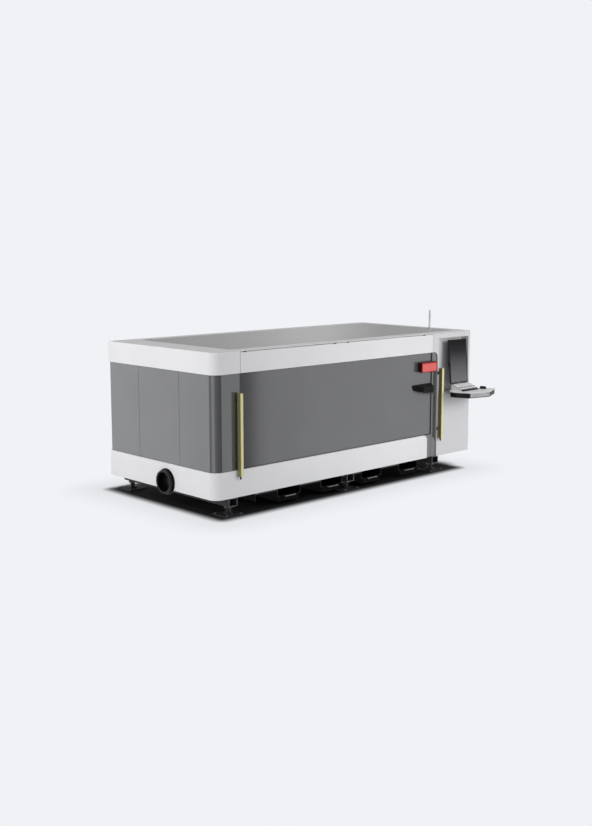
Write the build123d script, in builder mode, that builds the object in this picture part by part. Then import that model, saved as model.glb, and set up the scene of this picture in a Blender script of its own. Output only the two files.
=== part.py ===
from build123d import *
import os
from math import atan2, cos, degrees, hypot, sin

os.makedirs("parts", exist_ok=True)

# The sheet that the machine cuts, which drives the enclosure
sheet_length = 3000.0
sheet_width = 1500.0

# Room around the sheet
left_room = 847.5
right_room = 189.5
console_width = 723.0
beam_inset = 90.0
beam_width = 160.0
table_lug_reach = 55.0
slat_overhang = 20.0
side_room = beam_inset + beam_width + table_lug_reach + slat_overhang
body_length = left_room + sheet_length + right_room + console_width
body_width = sheet_width + 2 * side_room

# Enclosure: white bands stand proud of grey panels
floor_gap = 215.0
skirt_height = 327.0
panel_height = 1159.0
band_height = 264.0
left_corner_radius = 120.0
panel_set = 15.0
sheet = 3.0
flange = 25.0
seam = 4.0
cut_over = 20.0

# Front layout, measured from the left end
door_start = 400.0
pillar_width = 105.0
skirt_end_room = 99.0
console_start = body_length - console_width
door_end = console_start - pillar_width
skirt_end = door_end - skirt_end_room
skirt_corner_radius = 75.0
pillar_corner_radius = 80.0
jamb_depth = 60.0
skirt_panel_lap = 120.0

# Seams of the end and rear panels
end_seam_shares = (0.3209, 0.7042)
rear_panel_count = 5
right_wrap = 120.0
right_seam_share = 0.651

# Roof: grey panel in a white border
roof_border_left = 400.0
roof_border_right = 125.0
roof_border_front = 185.0
roof_border_rear = 150.0
roof_corner_radius = 60.0
roof_sink = 2.0
ledge_width = 30.0
lip_height = 8.0
lip_depth = 50.0

# Feet and underframe
first_foot_place = 269.0
middle_foot_shift = 65.5
last_foot_room = 22.0
foot_plate_side = 280.0
foot_plate_height = 15.0
jack_inset = 90.0
jack_radius = 30.0
jack_pad_radius = 55.0
jack_pad_height = 18.0
jack_top_room = 25.0
jack_nut_flats = 95.0
jack_nut_height = 30.0
thread_clearance = 0.05
hole_clearance = 1.0
cross_tube_width = 130.0
cross_tube_height = 100.0
cross_tube_wall = 6.0

# Bed beams and rails
beam_height = 385.0
beam_wall = 10.0
beam_start = 60.0
beam_end_room = 47.0
rail_width = 30.0
rail_height = 28.0
rail_place = 60.0
rail_end_room = 40.0

# Posts and roof frame
post_width = 80.0
post_depth = 40.0
frame_height = 80.0
frame_wall = 4.0
lintel_inset = 95.0
lintel_width = 60.0

# Slag drawers and chutes
drawer_count = 4
chute_margin = 10.0
drawer_mouth_share = 0.4371
drawer_back_room = 310.0
drawer_floor_gap = 35.0
drawer_wall = 2.0
drawer_start = 40.0
rim_width = 26.0
rim_height = 4.0
drawer_play = 0.3
runner_web = 4.0
runner_leg = 80.0
runner_bar = 30.0
runner_bar_depth = 15.0
runner_start = 40.0
runner_flange = 22.0
handle_length = 180.0
handle_reach = 34.0
handle_bar = 12.0
handle_height_share = 0.84
chute_lift = 10.0
chute_ridge = 520.0
chute_sheet = 4.0

# Cutting table
slat_pitch = 100.0
slat_height = 100.0
slat_thickness = 5.0
slat_top = 722.0
tooth_count = 22
tooth_depth = 22.0
tooth_tip = 4.0
comb_play = 0.5
comb_depth = 30.0
table_rail_width = 40.0
table_rail_height = 90.0
table_end_room = 30.0
table_lug_width = 60.0
table_lug_height = 40.0
table_lug_shares = (0.04, 0.27, 0.5, 0.73, 0.96)

# Gantry, parked at the left end
gantry_place = 400.0
gantry_width = 240.0
gantry_height = 260.0
gantry_wall = 8.0
gantry_bottom = 900.0
gantry_end_room = 10.0
gantry_chamfer = 12.0
carriage_width = 70.0
carriage_foot = 420.0
carriage_neck = 220.0
carriage_lift = 6.0
carriage_foot_height = 90.0
slide_play = 0.3
motor_side = 80.0
motor_height = 150.0
motor_neck = 60.0
gearbox_height = 70.0
gearbox_lift = 12.0
cross_rail_width = 23.0
cross_rail_height = 20.0
cross_rail_shares = (0.2, 0.8)
cross_rail_end_room = 15.0

# Cutting head and its carriage
head_width = 240.0
head_plate = 26.0
head_plate_gap = 2.0
head_plate_rim = 20.0
tower_width = 120.0
tower_depth = 74.0
tower_bottom = 930.0
tower_height = 400.0
tower_motor_radius = 32.0
tower_motor_height = 90.0
head_back_plate = 15.0
head_back_height = 240.0
head_body_side = 84.0
head_body_height = 250.0
head_cone_height = 70.0
head_cone_radius = 20.0
head_fillet = 10.0
collimator_radius = 26.0
collimator_height = 70.0
nozzle_radius = 16.0
nozzle_tip_radius = 4.0
nozzle_height = 34.0
nozzle_bore = 1.5
nozzle_rest = 852.0

# Door, hinged along its top edge
door_set = 30.0
door_depth = 80.0
door_bow = 22.0
bow_length = 440.0
hinge_drop = 6.0
hinge_set = 5.0
header_drop = 1.0
hinge_place_shares = (0.021, 0.449, 0.516, 0.946)
knuckle_radius = 5.0
knuckle_length = 13.0
knuckle_gap = 0.5
hinge_pin_radius = 2.5
pin_clearance = 0.05
leaf_thickness = 3.0
leaf_reach = 26.0
leaf_margin = 2.0

# Red status lamp on the door
lamp_width = 332.0
lamp_overhang = 52.0
lamp_height = 139.0
lamp_front = 46.0
lamp_back = 12.0
lamp_place_share = 0.7731
lamp_wall = 6.0
lamp_foot_inset = 20.0
lens_thickness = 12.0
lens_crown = 2.0

# Black moulded pull on the door
grip_width = 400.0
grip_reach = 90.0
grip_top_share = 0.623
grip_height = 112.0
grip_top_rise = 8.0
grip_tip_height = 26.0
grip_heel_run = 44.0
grip_heel_drop = 75.0
grip_belly_run = 188.0
grip_left_taper = 150.0
grip_right_taper = 40.0
grip_slope = 34.0
grip_wall = 14.0
grip_roof = 45.0
grip_fillet = 6.0
grip_edge_room = 5.0

# Safety light curtains
curtain_left_room = 40.0
curtain_right_shift = 41.0
curtain_width = 42.0
curtain_depth = 66.0
curtain_drop = 72.0
curtain_length_share = 0.8637
curtain_stand = 4.0
curtain_edge = 5.0
lens_width = 24.0
lens_depth = 3.0
lens_end_room = 25.0
curtain_bracket_width = 28.0
curtain_bracket_height = 40.0
curtain_bracket_shares = (0.14, 0.93)
plug_radius = 10.0
plug_height = 34.0
plug_nut_radius = 13.0
plug_nut_height = 12.0

# Fume exhaust collar on the left end
collar_place = 945.0
collar_centre_height = 311.0
collar_radius = 145.0
collar_wall = 22.0
collar_reach = 55.0
collar_tail = 60.0
collar_flange_radius = 165.0
collar_flange_sheet = 8.0

# Console cabinet and its scooped recess
console_depth = 600.0
console_gap = 2.0
recess_left_rim = 20.0
recess_right_rim = 35.0
recess_drop = 38.0
recess_rise = 185.0
recess_depth = 110.0
recess_ramp_share = 0.2946
recess_draft = 25.0

# Monitor, portrait and leaning back
monitor_place_share = 0.6017
monitor_width_share = 0.5422
monitor_room = 5.0
monitor_top_gap = 35.0
monitor_lean = 52.0
monitor_thickness = 22.0
monitor_corner = 10.0
bezel = 14.0
screen_thickness = 2.0
screen_sink = 0.5
arm_width = 120.0
arm_low_share = 0.36
arm_high_share = 0.64

# Keyboard tray
tray_top = 1146.0
tray_thickness = 74.0
tray_plate = 4.0
tray_neck_left = 140.0
tray_neck_right = 230.0
tray_left_reach = 376.0
tray_left_back = 180.0
tray_left_front = 273.0
tray_corner_half = 300.0
tray_corner_depth = 470.0
tray_reach = 545.0
tray_nose_place = 60.0
tray_nose_half = 15.0
tray_tip_reach = 395.0
tray_tip_front = 400.0
tray_tip_back = 372.0
tray_waist = 270.0
tray_waist_depth = 220.0
tray_corner = 30.0
tray_edge = 3.0
pan_inset = 2.0
bumper_thickness = 10.0
bumper_height = 60.0
bumper_end_room = 20.0

# Things on the tray
keyboard_width = 398.0
keyboard_depth = 165.0
keyboard_front_height = 10.0
keyboard_rear_height = 74.0
keyboard_edge = 3.0
keyboard_back = 48.0
keyboard_shift = 15.0
key_columns = 14
key_rows = 5
key_gap = 4.0
key_height = 5.0
key_rim = 12.0
wrist_width = 340.0
wrist_depth = 48.0
wrist_height = 16.0
wrist_back = 240.0
wrist_shift = -30.0
wrist_fillet = 6.0
mouse_length = 105.0
mouse_width = 62.0
mouse_height = 34.0
mouse_back = 232.0
mouse_shift = 245.0
mouse_fillet = 14.0

# Signal lamp on the roof
signal_end_room = 115.0
signal_inset = 663.0
signal_radius = 14.0
signal_base_radius = 20.0
signal_base_height = 14.0
signal_height = 265.0
signal_groove = 2.0
signal_groove_shares = (0.34, 0.62)

# Laser source in the right bay
laser_length_share = 0.7746
laser_width = 800.0
laser_height = 620.0
laser_bottom = 300.0
laser_room = 120.0
laser_corner = 12.0
laser_port_radius = 40.0
laser_port_length = 60.0

# Heights worked out from the bands
skirt_top = floor_gap + skirt_height
band_bottom = skirt_top + panel_height
roof_top = band_bottom + band_height
lip_bottom = roof_top - lip_height
roof_panel_top = roof_top - roof_sink
ledge_bottom = roof_panel_top - 2 * sheet
frame_top = min(lip_bottom, ledge_bottom)
recess_bottom = tray_top - recess_drop
recess_top = band_bottom + recess_rise
monitor_bottom = tray_top + keyboard_rear_height + key_height + monitor_room
monitor_rise = recess_top - monitor_top_gap - monitor_bottom
lamp_bottom = skirt_top + lamp_place_share * panel_height
grip_top = skirt_top + grip_top_share * panel_height
curtain_bottom = skirt_top - curtain_drop
curtain_length = curtain_length_share * panel_height
chute_bottom = floor_gap + chute_lift
cross_tube_bottom = floor_gap - cross_tube_height

# Plan: the origin lies under the middle of everything
foot_overhang = foot_plate_side / 2 - jack_inset
monitor_centre = console_start + monitor_place_share * console_width
monitor_width = monitor_width_share * console_width
tray_right = monitor_centre + tray_tip_reach
left = collar_reach - (collar_reach + tray_right) / 2
right = left + body_length
front = tray_reach - (tray_reach + body_width + foot_overhang) / 2
back = front + body_width
middle = (front + back) / 2
console_left = left + console_start
sheet_middle = left_room + sheet_length / 2
foot_places = (first_foot_place, sheet_middle - middle_foot_shift, console_start - last_foot_room)
beam_end = console_start - beam_end_room
end_seams = [share * body_width for share in end_seam_shares]
right_seam = right_seam_share * body_width
drawer_pitch = (sheet_length + 2 * chute_margin) / drawer_count
drawer_mouth = drawer_mouth_share * drawer_pitch
first_drawer = left_room - chute_margin + drawer_pitch / 2
door_left = left + door_start + seam / 2
door_right = left + door_end - seam / 2
door_width = door_right - door_left
door_bottom = skirt_top + seam
hinge_height = lip_bottom - hinge_drop
hinge_y = front + hinge_set
header_top = hinge_height - header_drop


def span_box(x0, x1, y0, y1, z0, z1, mode=Mode.ADD):
    """A box between two corners."""
    with Locations((x0, y0, z0)):
        Box(x1 - x0, y1 - y0, z1 - z0, align=(Align.MIN, Align.MIN, Align.MIN), mode=mode)


def span_rectangle(x0, x1, y0, y1, mode=Mode.ADD):
    """A rectangle between two corners."""
    with Locations((x0, y0)):
        Rectangle(x1 - x0, y1 - y0, align=(Align.MIN, Align.MIN), mode=mode)


def plan_outline(inset):
    """The body's plan, round at the front left corner."""
    radius = left_corner_radius - inset
    x0, x1 = left + inset, right - inset
    y0, y1 = front + inset, back - inset
    with BuildSketch() as outline:
        with BuildLine():
            Polyline((x0 + radius, y0), (x1, y0), (x1, y1), (x0, y1), (x0, y0 + radius))
            CenterArc((x0 + radius, y0 + radius), radius, 180, 90)
        make_face()
    return outline.sketch


def plan_ring(outer_inset, inner_inset):
    """A closed band that follows the body's plan."""
    with BuildSketch() as ring:
        add(plan_outline(outer_inset))
        add(plan_outline(inner_inset), mode=Mode.SUBTRACT)
    return ring.sketch


def panel_section(x0, x1, y0, y1):
    """The stretch of the grey skin inside a rectangle."""
    with BuildSketch() as section:
        add(plan_ring(panel_set, panel_set + sheet))
        span_rectangle(x0, x1, y0, y1, mode=Mode.INTERSECT)
    return section.sketch


def roof_outline(grow):
    """The roof opening, grown or shrunk on every side."""
    width = body_length - roof_border_left - roof_border_right + 2 * grow
    depth = body_width - roof_border_front - roof_border_rear + 2 * grow
    centre_x = (left + roof_border_left + right - roof_border_right) / 2
    centre_y = (front + roof_border_front + back - roof_border_rear) / 2
    with BuildSketch() as opening:
        with Locations((centre_x, centre_y)):
            RectangleRounded(width, depth, roof_corner_radius + grow)
    return opening.sketch


# Leveling feet: plates, jack screws and lock nuts
foot_points = []
for foot_place in foot_places:
    for foot_y in (front + jack_inset, back - jack_inset):
        foot_points.append((left + foot_place, foot_y))

with BuildPart() as foot_plates:
    with BuildSketch():
        with Locations(*foot_points):
            Rectangle(foot_plate_side, foot_plate_side)
    extrude(amount=foot_plate_height)
foot_plates.part.label = "foot_plates"
export_step(foot_plates.part, "parts/foot_plates.step")

jack_top = floor_gap - jack_top_room
with BuildPart() as jack_screws:
    with BuildSketch(Plane.XY.offset(foot_plate_height)):
        with Locations(*foot_points):
            Circle(jack_pad_radius)
    extrude(amount=jack_pad_height)
    with BuildSketch(Plane.XY.offset(foot_plate_height)):
        with Locations(*foot_points):
            Circle(jack_radius)
    extrude(amount=jack_top - foot_plate_height)
jack_screws.part.label = "jack_screws"
export_step(jack_screws.part, "parts/jack_screws.step")

with BuildPart() as jack_nuts:
    with BuildSketch(Plane.XY.offset(cross_tube_bottom - jack_nut_height)):
        with Locations(*foot_points):
            RegularPolygon(jack_nut_flats / 2, side_count=6, major_radius=False)
            Circle(jack_radius + thread_clearance, mode=Mode.SUBTRACT)
    extrude(amount=jack_nut_height)
jack_nuts.part.label = "jack_nuts"
export_step(jack_nuts.part, "parts/jack_nuts.step")

# Cross tubes, open at both ends
tube_centre = (cross_tube_bottom + floor_gap) / 2
with BuildPart() as cross_tubes:
    with BuildSketch(Plane.XZ.offset(-back)):
        with Locations(*[(left + foot_place, tube_centre) for foot_place in foot_places]):
            Rectangle(cross_tube_width, cross_tube_height)
            Rectangle(
                cross_tube_width - 2 * cross_tube_wall,
                cross_tube_height - 2 * cross_tube_wall,
                mode=Mode.SUBTRACT,
            )
    extrude(amount=body_width)
    with BuildSketch(Plane.XY.offset(cross_tube_bottom - cut_over)):
        with Locations(*foot_points):
            Circle(jack_radius + hole_clearance)
    extrude(amount=cut_over + 2 * cross_tube_wall, mode=Mode.SUBTRACT)
cross_tubes.part.label = "cross_tubes"
export_step(cross_tubes.part, "parts/cross_tubes.step")

# Bed beams that carry the long rails
beam_top = floor_gap + beam_height
front_beam = (front + beam_inset, front + beam_inset + beam_width)
rear_beam = (back - beam_inset - beam_width, back - beam_inset)
with BuildPart() as bed_beams:
    with BuildSketch(Plane.YZ.offset(left + beam_start)):
        for beam_y0, beam_y1 in (front_beam, rear_beam):
            span_rectangle(beam_y0, beam_y1, floor_gap, beam_top)
            span_rectangle(
                beam_y0 + beam_wall, beam_y1 - beam_wall,
                floor_gap + beam_wall, beam_top - beam_wall,
                mode=Mode.SUBTRACT,
            )
    extrude(amount=beam_end - beam_start)
bed_beams.part.label = "bed_beams"
export_step(bed_beams.part, "parts/bed_beams.step")

# Linear rails along the bed
rail_centres = (front + beam_inset + rail_place, back - beam_inset - rail_place)
rail_start = left + beam_start + rail_end_room
rail_length = beam_end - beam_start - 2 * rail_end_room
rail_top = beam_top + rail_height
with BuildPart() as bed_rails:
    with BuildSketch(Plane.YZ.offset(rail_start)):
        for rail_y in rail_centres:
            with BuildLine():
                Polyline(
                    (rail_y - rail_width / 2, beam_top),
                    (rail_y + rail_width / 2, beam_top),
                    (rail_y + rail_width / 2, beam_top + rail_height / 3),
                    (rail_y + rail_width / 3, beam_top + rail_height / 2),
                    (rail_y + rail_width / 2, beam_top + 2 * rail_height / 3),
                    (rail_y + rail_width / 2, rail_top),
                    (rail_y - rail_width / 2, rail_top),
                    (rail_y - rail_width / 2, beam_top + 2 * rail_height / 3),
                    (rail_y - rail_width / 3, beam_top + rail_height / 2),
                    (rail_y - rail_width / 2, beam_top + rail_height / 3),
                    close=True,
                )
            make_face()
    extrude(amount=rail_length)
bed_rails.part.label = "bed_rails"
export_step(bed_rails.part, "parts/bed_rails.step")

# Posts on the cross tubes and the frame under the roof
post_left = left + foot_places[0]
post_right = console_left - sheet - post_width / 2
post_front = front + flange
post_rear = back - flange - post_depth
post_top = frame_top - frame_height
with BuildPart() as enclosure_frame:
    for post_x in (post_left, post_right):
        for post_y in (post_front, post_rear):
            span_box(
                post_x - post_width / 2, post_x + post_width / 2,
                post_y, post_y + post_depth, floor_gap, post_top,
            )
        span_box(
            post_x - post_width / 2, post_x + post_width / 2,
            post_front, post_rear + post_depth, post_top, frame_top,
        )
    for lintel_y in (front + lintel_inset, back - lintel_inset - lintel_width):
        span_box(
            post_left + post_width / 2, post_right - post_width / 2,
            lintel_y, lintel_y + lintel_width, post_top, frame_top,
        )
        span_box(
            post_left, post_right, lintel_y + frame_wall, lintel_y + lintel_width - frame_wall,
            post_top + frame_wall, frame_top - frame_wall, mode=Mode.SUBTRACT,
        )
    for post_x in (post_left, post_right):
        hollow_x0 = post_x - post_width / 2 + frame_wall
        hollow_x1 = post_x + post_width / 2 - frame_wall
        span_box(
            hollow_x0, hollow_x1, post_front + frame_wall, post_rear + post_depth - frame_wall,
            post_top + frame_wall, frame_top - frame_wall, mode=Mode.SUBTRACT,
        )
        for post_y in (post_front, post_rear):
            span_box(
                hollow_x0, hollow_x1, post_y + frame_wall, post_y + post_depth - frame_wall,
                floor_gap - cut_over, frame_top - frame_wall, mode=Mode.SUBTRACT,
            )
enclosure_frame.part.label = "enclosure_frame"
export_step(enclosure_frame.part, "parts/enclosure_frame.step")

# Lower white skirt, folded at both edges and round at the front left corner
collar_y = front + collar_place
with BuildPart() as lower_skirt:
    with BuildSketch(Plane.XY.offset(floor_gap)):
        add(plan_ring(0, sheet))
    extrude(amount=skirt_height)
    with BuildSketch(Plane.XY.offset(floor_gap), Plane.XY.offset(skirt_top - sheet)):
        add(plan_ring(0, flange))
    extrude(amount=sheet)
    span_box(
        left + skirt_end, right + cut_over, front - cut_over, front + console_depth,
        floor_gap - cut_over, skirt_top + cut_over, mode=Mode.SUBTRACT,
    )
    with BuildSketch(Plane.XZ.offset(-front - flange - cut_over)):
        corner_x = left + skirt_end - skirt_corner_radius
        corner_z = skirt_top - skirt_corner_radius
        span_rectangle(corner_x, left + skirt_end + cut_over, corner_z, skirt_top + cut_over)
        with Locations((corner_x, corner_z)):
            Circle(skirt_corner_radius, mode=Mode.SUBTRACT)
    extrude(amount=flange + 2 * cut_over, mode=Mode.SUBTRACT)
    with BuildSketch(Plane.YZ.offset(left - cut_over)):
        with Locations((collar_y, collar_centre_height)):
            Circle(collar_radius + hole_clearance)
    extrude(amount=flange + 2 * cut_over, mode=Mode.SUBTRACT)
lower_skirt.part.label = "lower_skirt"
export_step(lower_skirt.part, "parts/lower_skirt.step")

# Grey panels: left corner with its door jamb, left end, rear left corner
pillar_edge = left + door_start - seam / 2
with BuildPart() as corner_panel:
    with BuildSketch(Plane.XY.offset(skirt_top)):
        add(panel_section(
            left - cut_over, pillar_edge, front - cut_over, front + end_seams[0] - seam / 2
        ))
        span_rectangle(
            pillar_edge - sheet, pillar_edge, front + panel_set, front + panel_set + jamb_depth
        )
    extrude(amount=panel_height)
corner_panel.part.label = "corner_panel"
export_step(corner_panel.part, "parts/corner_panel.step")

with BuildPart() as end_panel_middle:
    with BuildSketch(Plane.XY.offset(skirt_top)):
        add(panel_section(
            left - cut_over, left + left_corner_radius,
            front + end_seams[0] + seam / 2, front + end_seams[1] - seam / 2,
        ))
    extrude(amount=panel_height)
end_panel_middle.part.label = "end_panel_middle"
export_step(end_panel_middle.part, "parts/end_panel_middle.step")

with BuildPart() as end_panel_rear:
    with BuildSketch(Plane.XY.offset(skirt_top)):
        add(panel_section(
            left - cut_over, pillar_edge, front + end_seams[1] + seam / 2, back + cut_over
        ))
    extrude(amount=panel_height)
end_panel_rear.part.label = "end_panel_rear"
export_step(end_panel_rear.part, "parts/end_panel_rear.step")

# Grey panels along the rear and the right end
rear_start = left + door_start
rear_pitch = (right - right_wrap - rear_start) / rear_panel_count
with BuildPart() as rear_panels:
    with BuildSketch(Plane.XY.offset(skirt_top)):
        for panel_index in range(rear_panel_count):
            panel_x = rear_start + panel_index * rear_pitch
            add(panel_section(
                panel_x + seam / 2, panel_x + rear_pitch - seam / 2, middle, back + cut_over
            ))
    extrude(amount=panel_height)
rear_panels.part.label = "rear_panels"
export_step(rear_panels.part, "parts/rear_panels.step")

with BuildPart() as right_end_panels:
    with BuildSketch(Plane.XY.offset(skirt_top)):
        add(panel_section(
            right - right_wrap + seam / 2, right + cut_over,
            front + console_depth + seam / 2, front + right_seam - seam / 2,
        ))
        add(panel_section(
            right - right_wrap + seam / 2, right + cut_over,
            front + right_seam + seam / 2, back + cut_over,
        ))
    extrude(amount=panel_height)
right_end_panels.part.label = "right_end_panels"
export_step(right_end_panels.part, "parts/right_end_panels.step")

# Grey pillar right of the door, and the grey panel past the skirt's end
pillar_left = left + door_end + seam / 2
console_top = lip_bottom - console_gap
with BuildPart() as right_pillar:
    span_box(
        pillar_left, console_left, front + panel_set, front + panel_set + sheet,
        floor_gap, console_top,
    )
    span_box(
        pillar_left, pillar_left + sheet, front + panel_set, front + panel_set + jamb_depth,
        skirt_top, band_bottom,
    )
right_pillar.part.label = "right_pillar"
export_step(right_pillar.part, "parts/right_pillar.step")

with BuildPart() as skirt_end_panel:
    span_box(
        left + skirt_end - skirt_panel_lap, left + door_end - seam / 2,
        front + panel_set, front + panel_set + sheet,
        floor_gap + sheet, skirt_top - sheet,
    )
skirt_end_panel.part.label = "skirt_end_panel"
export_step(skirt_end_panel.part, "parts/skirt_end_panel.step")

# Upper white frame: band, roof border, ledge for the roof panel and front lip
with BuildPart() as top_frame:
    with BuildSketch(Plane.XY.offset(band_bottom)):
        add(plan_ring(0, sheet))
    extrude(amount=band_height)
    with BuildSketch(Plane.XY.offset(band_bottom)):
        add(plan_ring(0, flange))
    extrude(amount=sheet)
    with BuildSketch(Plane.XY.offset(roof_top - sheet)):
        add(plan_outline(0))
        add(roof_outline(0), mode=Mode.SUBTRACT)
    extrude(amount=sheet)
    with BuildSketch(Plane.XY.offset(ledge_bottom)):
        add(roof_outline(sheet))
        add(roof_outline(0), mode=Mode.SUBTRACT)
    extrude(amount=roof_top - ledge_bottom)
    with BuildSketch(Plane.XY.offset(ledge_bottom)):
        add(roof_outline(sheet))
        add(roof_outline(-ledge_width), mode=Mode.SUBTRACT)
    extrude(amount=sheet)
    span_box(
        left + door_start - seam / 2, right + cut_over, front - cut_over, front + flange + cut_over,
        band_bottom - cut_over, roof_top - sheet, mode=Mode.SUBTRACT,
    )
    span_box(
        console_left, right + cut_over, front - cut_over, front + console_depth,
        band_bottom - cut_over, lip_bottom, mode=Mode.SUBTRACT,
    )
    span_box(left + left_corner_radius, right, front, front + lip_depth, lip_bottom, roof_top)
top_frame.part.label = "top_frame"
export_step(top_frame.part, "parts/top_frame.step")

with BuildPart() as roof_panel:
    with BuildSketch(Plane.XY.offset(ledge_bottom + sheet)):
        add(roof_outline(-hole_clearance))
    extrude(amount=sheet)
roof_panel.part.label = "roof_panel"
export_step(roof_panel.part, "parts/roof_panel.step")

# Bulkhead between the cutting chamber and the right bay
with BuildPart() as bulkhead:
    span_box(
        console_left - sheet, console_left, post_front, post_rear + post_depth,
        floor_gap, frame_top,
    )
bulkhead.part.label = "bulkhead"
export_step(bulkhead.part, "parts/bulkhead.step")

# Console cabinet: folded front with a header arm, scooped recess for the monitor
recess_x0 = console_left + recess_left_rim
recess_x1 = right - recess_right_rim
recess_ramp = recess_ramp_share * console_width
recess_floor = front + recess_depth


def recess_profile(grow):
    """Plan of the scoop: a curved ramp on the left, a steep wall on the right."""
    x0, x1 = recess_x0 - grow, recess_x1 + grow
    floor_y = recess_floor + grow
    with BuildSketch() as scoop:
        with BuildLine():
            Line((x0, front - cut_over), (x0, front))
            TangentArc(
                (recess_x0 + recess_ramp, floor_y), (x0, front), tangent=(-1, 0)
            )
            Polyline(
                (recess_x0 + recess_ramp, floor_y), (x1 - recess_draft, floor_y),
                (x1, front), (x1, front - cut_over), (x0, front - cut_over),
            )
        make_face()
    return scoop.sketch


with BuildPart() as console_cabinet:
    with BuildSketch(Plane.XZ.offset(-front - console_depth)):
        span_rectangle(console_left, right, floor_gap, console_top)
    extrude(amount=console_depth)
    span_box(
        console_left + sheet, right - sheet, front + sheet, front + console_depth + cut_over,
        floor_gap + sheet, console_top - sheet, mode=Mode.SUBTRACT,
    )
    with BuildSketch(Plane.XZ.offset(-front - panel_set)):
        span_rectangle(pillar_left, console_left, band_bottom, console_top)
        span_rectangle(
            console_left - pillar_corner_radius, console_left,
            band_bottom - pillar_corner_radius, band_bottom,
        )
        with Locations((console_left - pillar_corner_radius, band_bottom - pillar_corner_radius)):
            Circle(pillar_corner_radius, mode=Mode.SUBTRACT)
    extrude(amount=panel_set)
    with BuildSketch(Plane.XY.offset(recess_bottom - sheet)):
        add(recess_profile(sheet))
        span_rectangle(
            console_left, right, front - 2 * cut_over, front, mode=Mode.SUBTRACT
        )
    extrude(amount=recess_top - recess_bottom + 2 * sheet)
    with BuildSketch(Plane.XY.offset(recess_bottom)):
        add(recess_profile(0))
    extrude(amount=recess_top - recess_bottom, mode=Mode.SUBTRACT)
console_cabinet.part.label = "console_cabinet"
export_step(console_cabinet.part, "parts/console_cabinet.step")

# Monitor: housing, glass and arm
monitor_x = left + monitor_centre
monitor_height = hypot(monitor_rise, monitor_lean)
lean_angle = atan2(monitor_lean, monitor_rise)
monitor_plane = Plane(
    origin=(monitor_x, front - monitor_lean, monitor_bottom),
    x_dir=(1, 0, 0),
    z_dir=(0, -cos(lean_angle), sin(lean_angle)),
)
screen_width = monitor_width - 2 * bezel
screen_height = monitor_height - 2 * bezel
pocket_depth = screen_thickness + screen_sink
with BuildPart() as monitor_housing:
    with BuildSketch(monitor_plane):
        with Locations((0, monitor_height / 2)):
            RectangleRounded(monitor_width, monitor_height, monitor_corner)
    extrude(amount=-monitor_thickness)
    with BuildSketch(monitor_plane.offset(-pocket_depth)):
        with Locations((0, monitor_height / 2)):
            Rectangle(screen_width, screen_height)
    extrude(amount=pocket_depth + cut_over, mode=Mode.SUBTRACT)
monitor_housing.part.label = "monitor_housing"
export_step(monitor_housing.part, "parts/monitor_housing.step")

with BuildPart() as monitor_screen:
    with BuildSketch(monitor_plane.offset(-pocket_depth)):
        with Locations((0, monitor_height / 2)):
            Rectangle(screen_width, screen_height)
    extrude(amount=screen_thickness)
monitor_screen.part.label = "monitor_screen"
export_step(monitor_screen.part, "parts/monitor_screen.step")

housing_back = front - monitor_lean + monitor_thickness / cos(lean_angle)
arm_low = monitor_bottom + arm_low_share * monitor_rise
arm_high = monitor_bottom + arm_high_share * monitor_rise
lean_slope = monitor_lean / monitor_rise
with BuildPart() as monitor_arm:
    with BuildSketch(Plane.YZ.offset(monitor_x - arm_width / 2)):
        with BuildLine():
            Polyline(
                (housing_back + lean_slope * (arm_low - monitor_bottom), arm_low),
                (recess_floor, arm_low),
                (recess_floor, arm_high),
                (housing_back + lean_slope * (arm_high - monitor_bottom), arm_high),
                close=True,
            )
        make_face()
    extrude(amount=arm_width)
monitor_arm.part.label = "monitor_arm"
export_step(monitor_arm.part, "parts/monitor_arm.step")

# Keyboard tray: narrow neck at the cabinet, wide shelf in front
tray_bottom = tray_top - tray_thickness
tray_front = front - tray_reach


def tray_outline(inset):
    """Plan of the swivelled tray, pulled in from every edge but the one at the cabinet."""
    front_y = tray_front + inset
    tip_x = monitor_x + tray_tip_reach - inset
    side_x = monitor_x - tray_left_reach + inset
    corner = (monitor_x - tray_corner_half + inset, front - tray_corner_depth + inset)
    with BuildSketch() as outline:
        with BuildLine():
            Polyline(
                (monitor_x - tray_neck_left + inset, front),
                (side_x, front - tray_left_back), (side_x, front - tray_left_front), corner,
                (monitor_x + tray_nose_place - tray_nose_half, front_y),
                (monitor_x + tray_nose_place + tray_nose_half, front_y),
                (tip_x, front - tray_tip_front + inset), (tip_x, front - tray_tip_back),
                (monitor_x + tray_waist - inset, front - tray_waist_depth),
                (monitor_x + tray_neck_right - inset, front), close=True,
            )
        make_face()
        fillet(outline.vertices().sort_by_distance((*corner, 0))[0], tray_corner - inset)
    return outline.sketch


with BuildPart() as keyboard_tray:
    with BuildSketch(Plane.XY.offset(tray_top - tray_plate)):
        add(tray_outline(0))
    extrude(amount=tray_plate)
    tray_rim = keyboard_tray.edges().group_by(Axis.Z)[-1]
    chamfer(tray_rim.filter_by(lambda edge: edge.center().Y < front), tray_edge / 2)
keyboard_tray.part.label = "keyboard_tray"
export_step(keyboard_tray.part, "parts/keyboard_tray.step")

with BuildPart() as tray_pan:
    with BuildSketch(Plane.XY.offset(tray_bottom)):
        add(tray_outline(bumper_thickness + pan_inset))
    extrude(amount=tray_thickness - tray_plate)
tray_pan.part.label = "tray_pan"
export_step(tray_pan.part, "parts/tray_pan.step")

with BuildPart() as tray_bumper:
    with BuildSketch(Plane.XY.offset(tray_top - tray_plate - bumper_height)):
        add(tray_outline(pan_inset))
        add(tray_outline(pan_inset + bumper_thickness), mode=Mode.SUBTRACT)
        span_rectangle(
            monitor_x - tray_corner_half + bumper_end_room, monitor_x + tray_nose_place,
            tray_front - cut_over, front - tray_left_front, mode=Mode.INTERSECT,
        )
    extrude(amount=bumper_height)
tray_bumper.part.label = "tray_bumper"
export_step(tray_bumper.part, "parts/tray_bumper.step")

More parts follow.
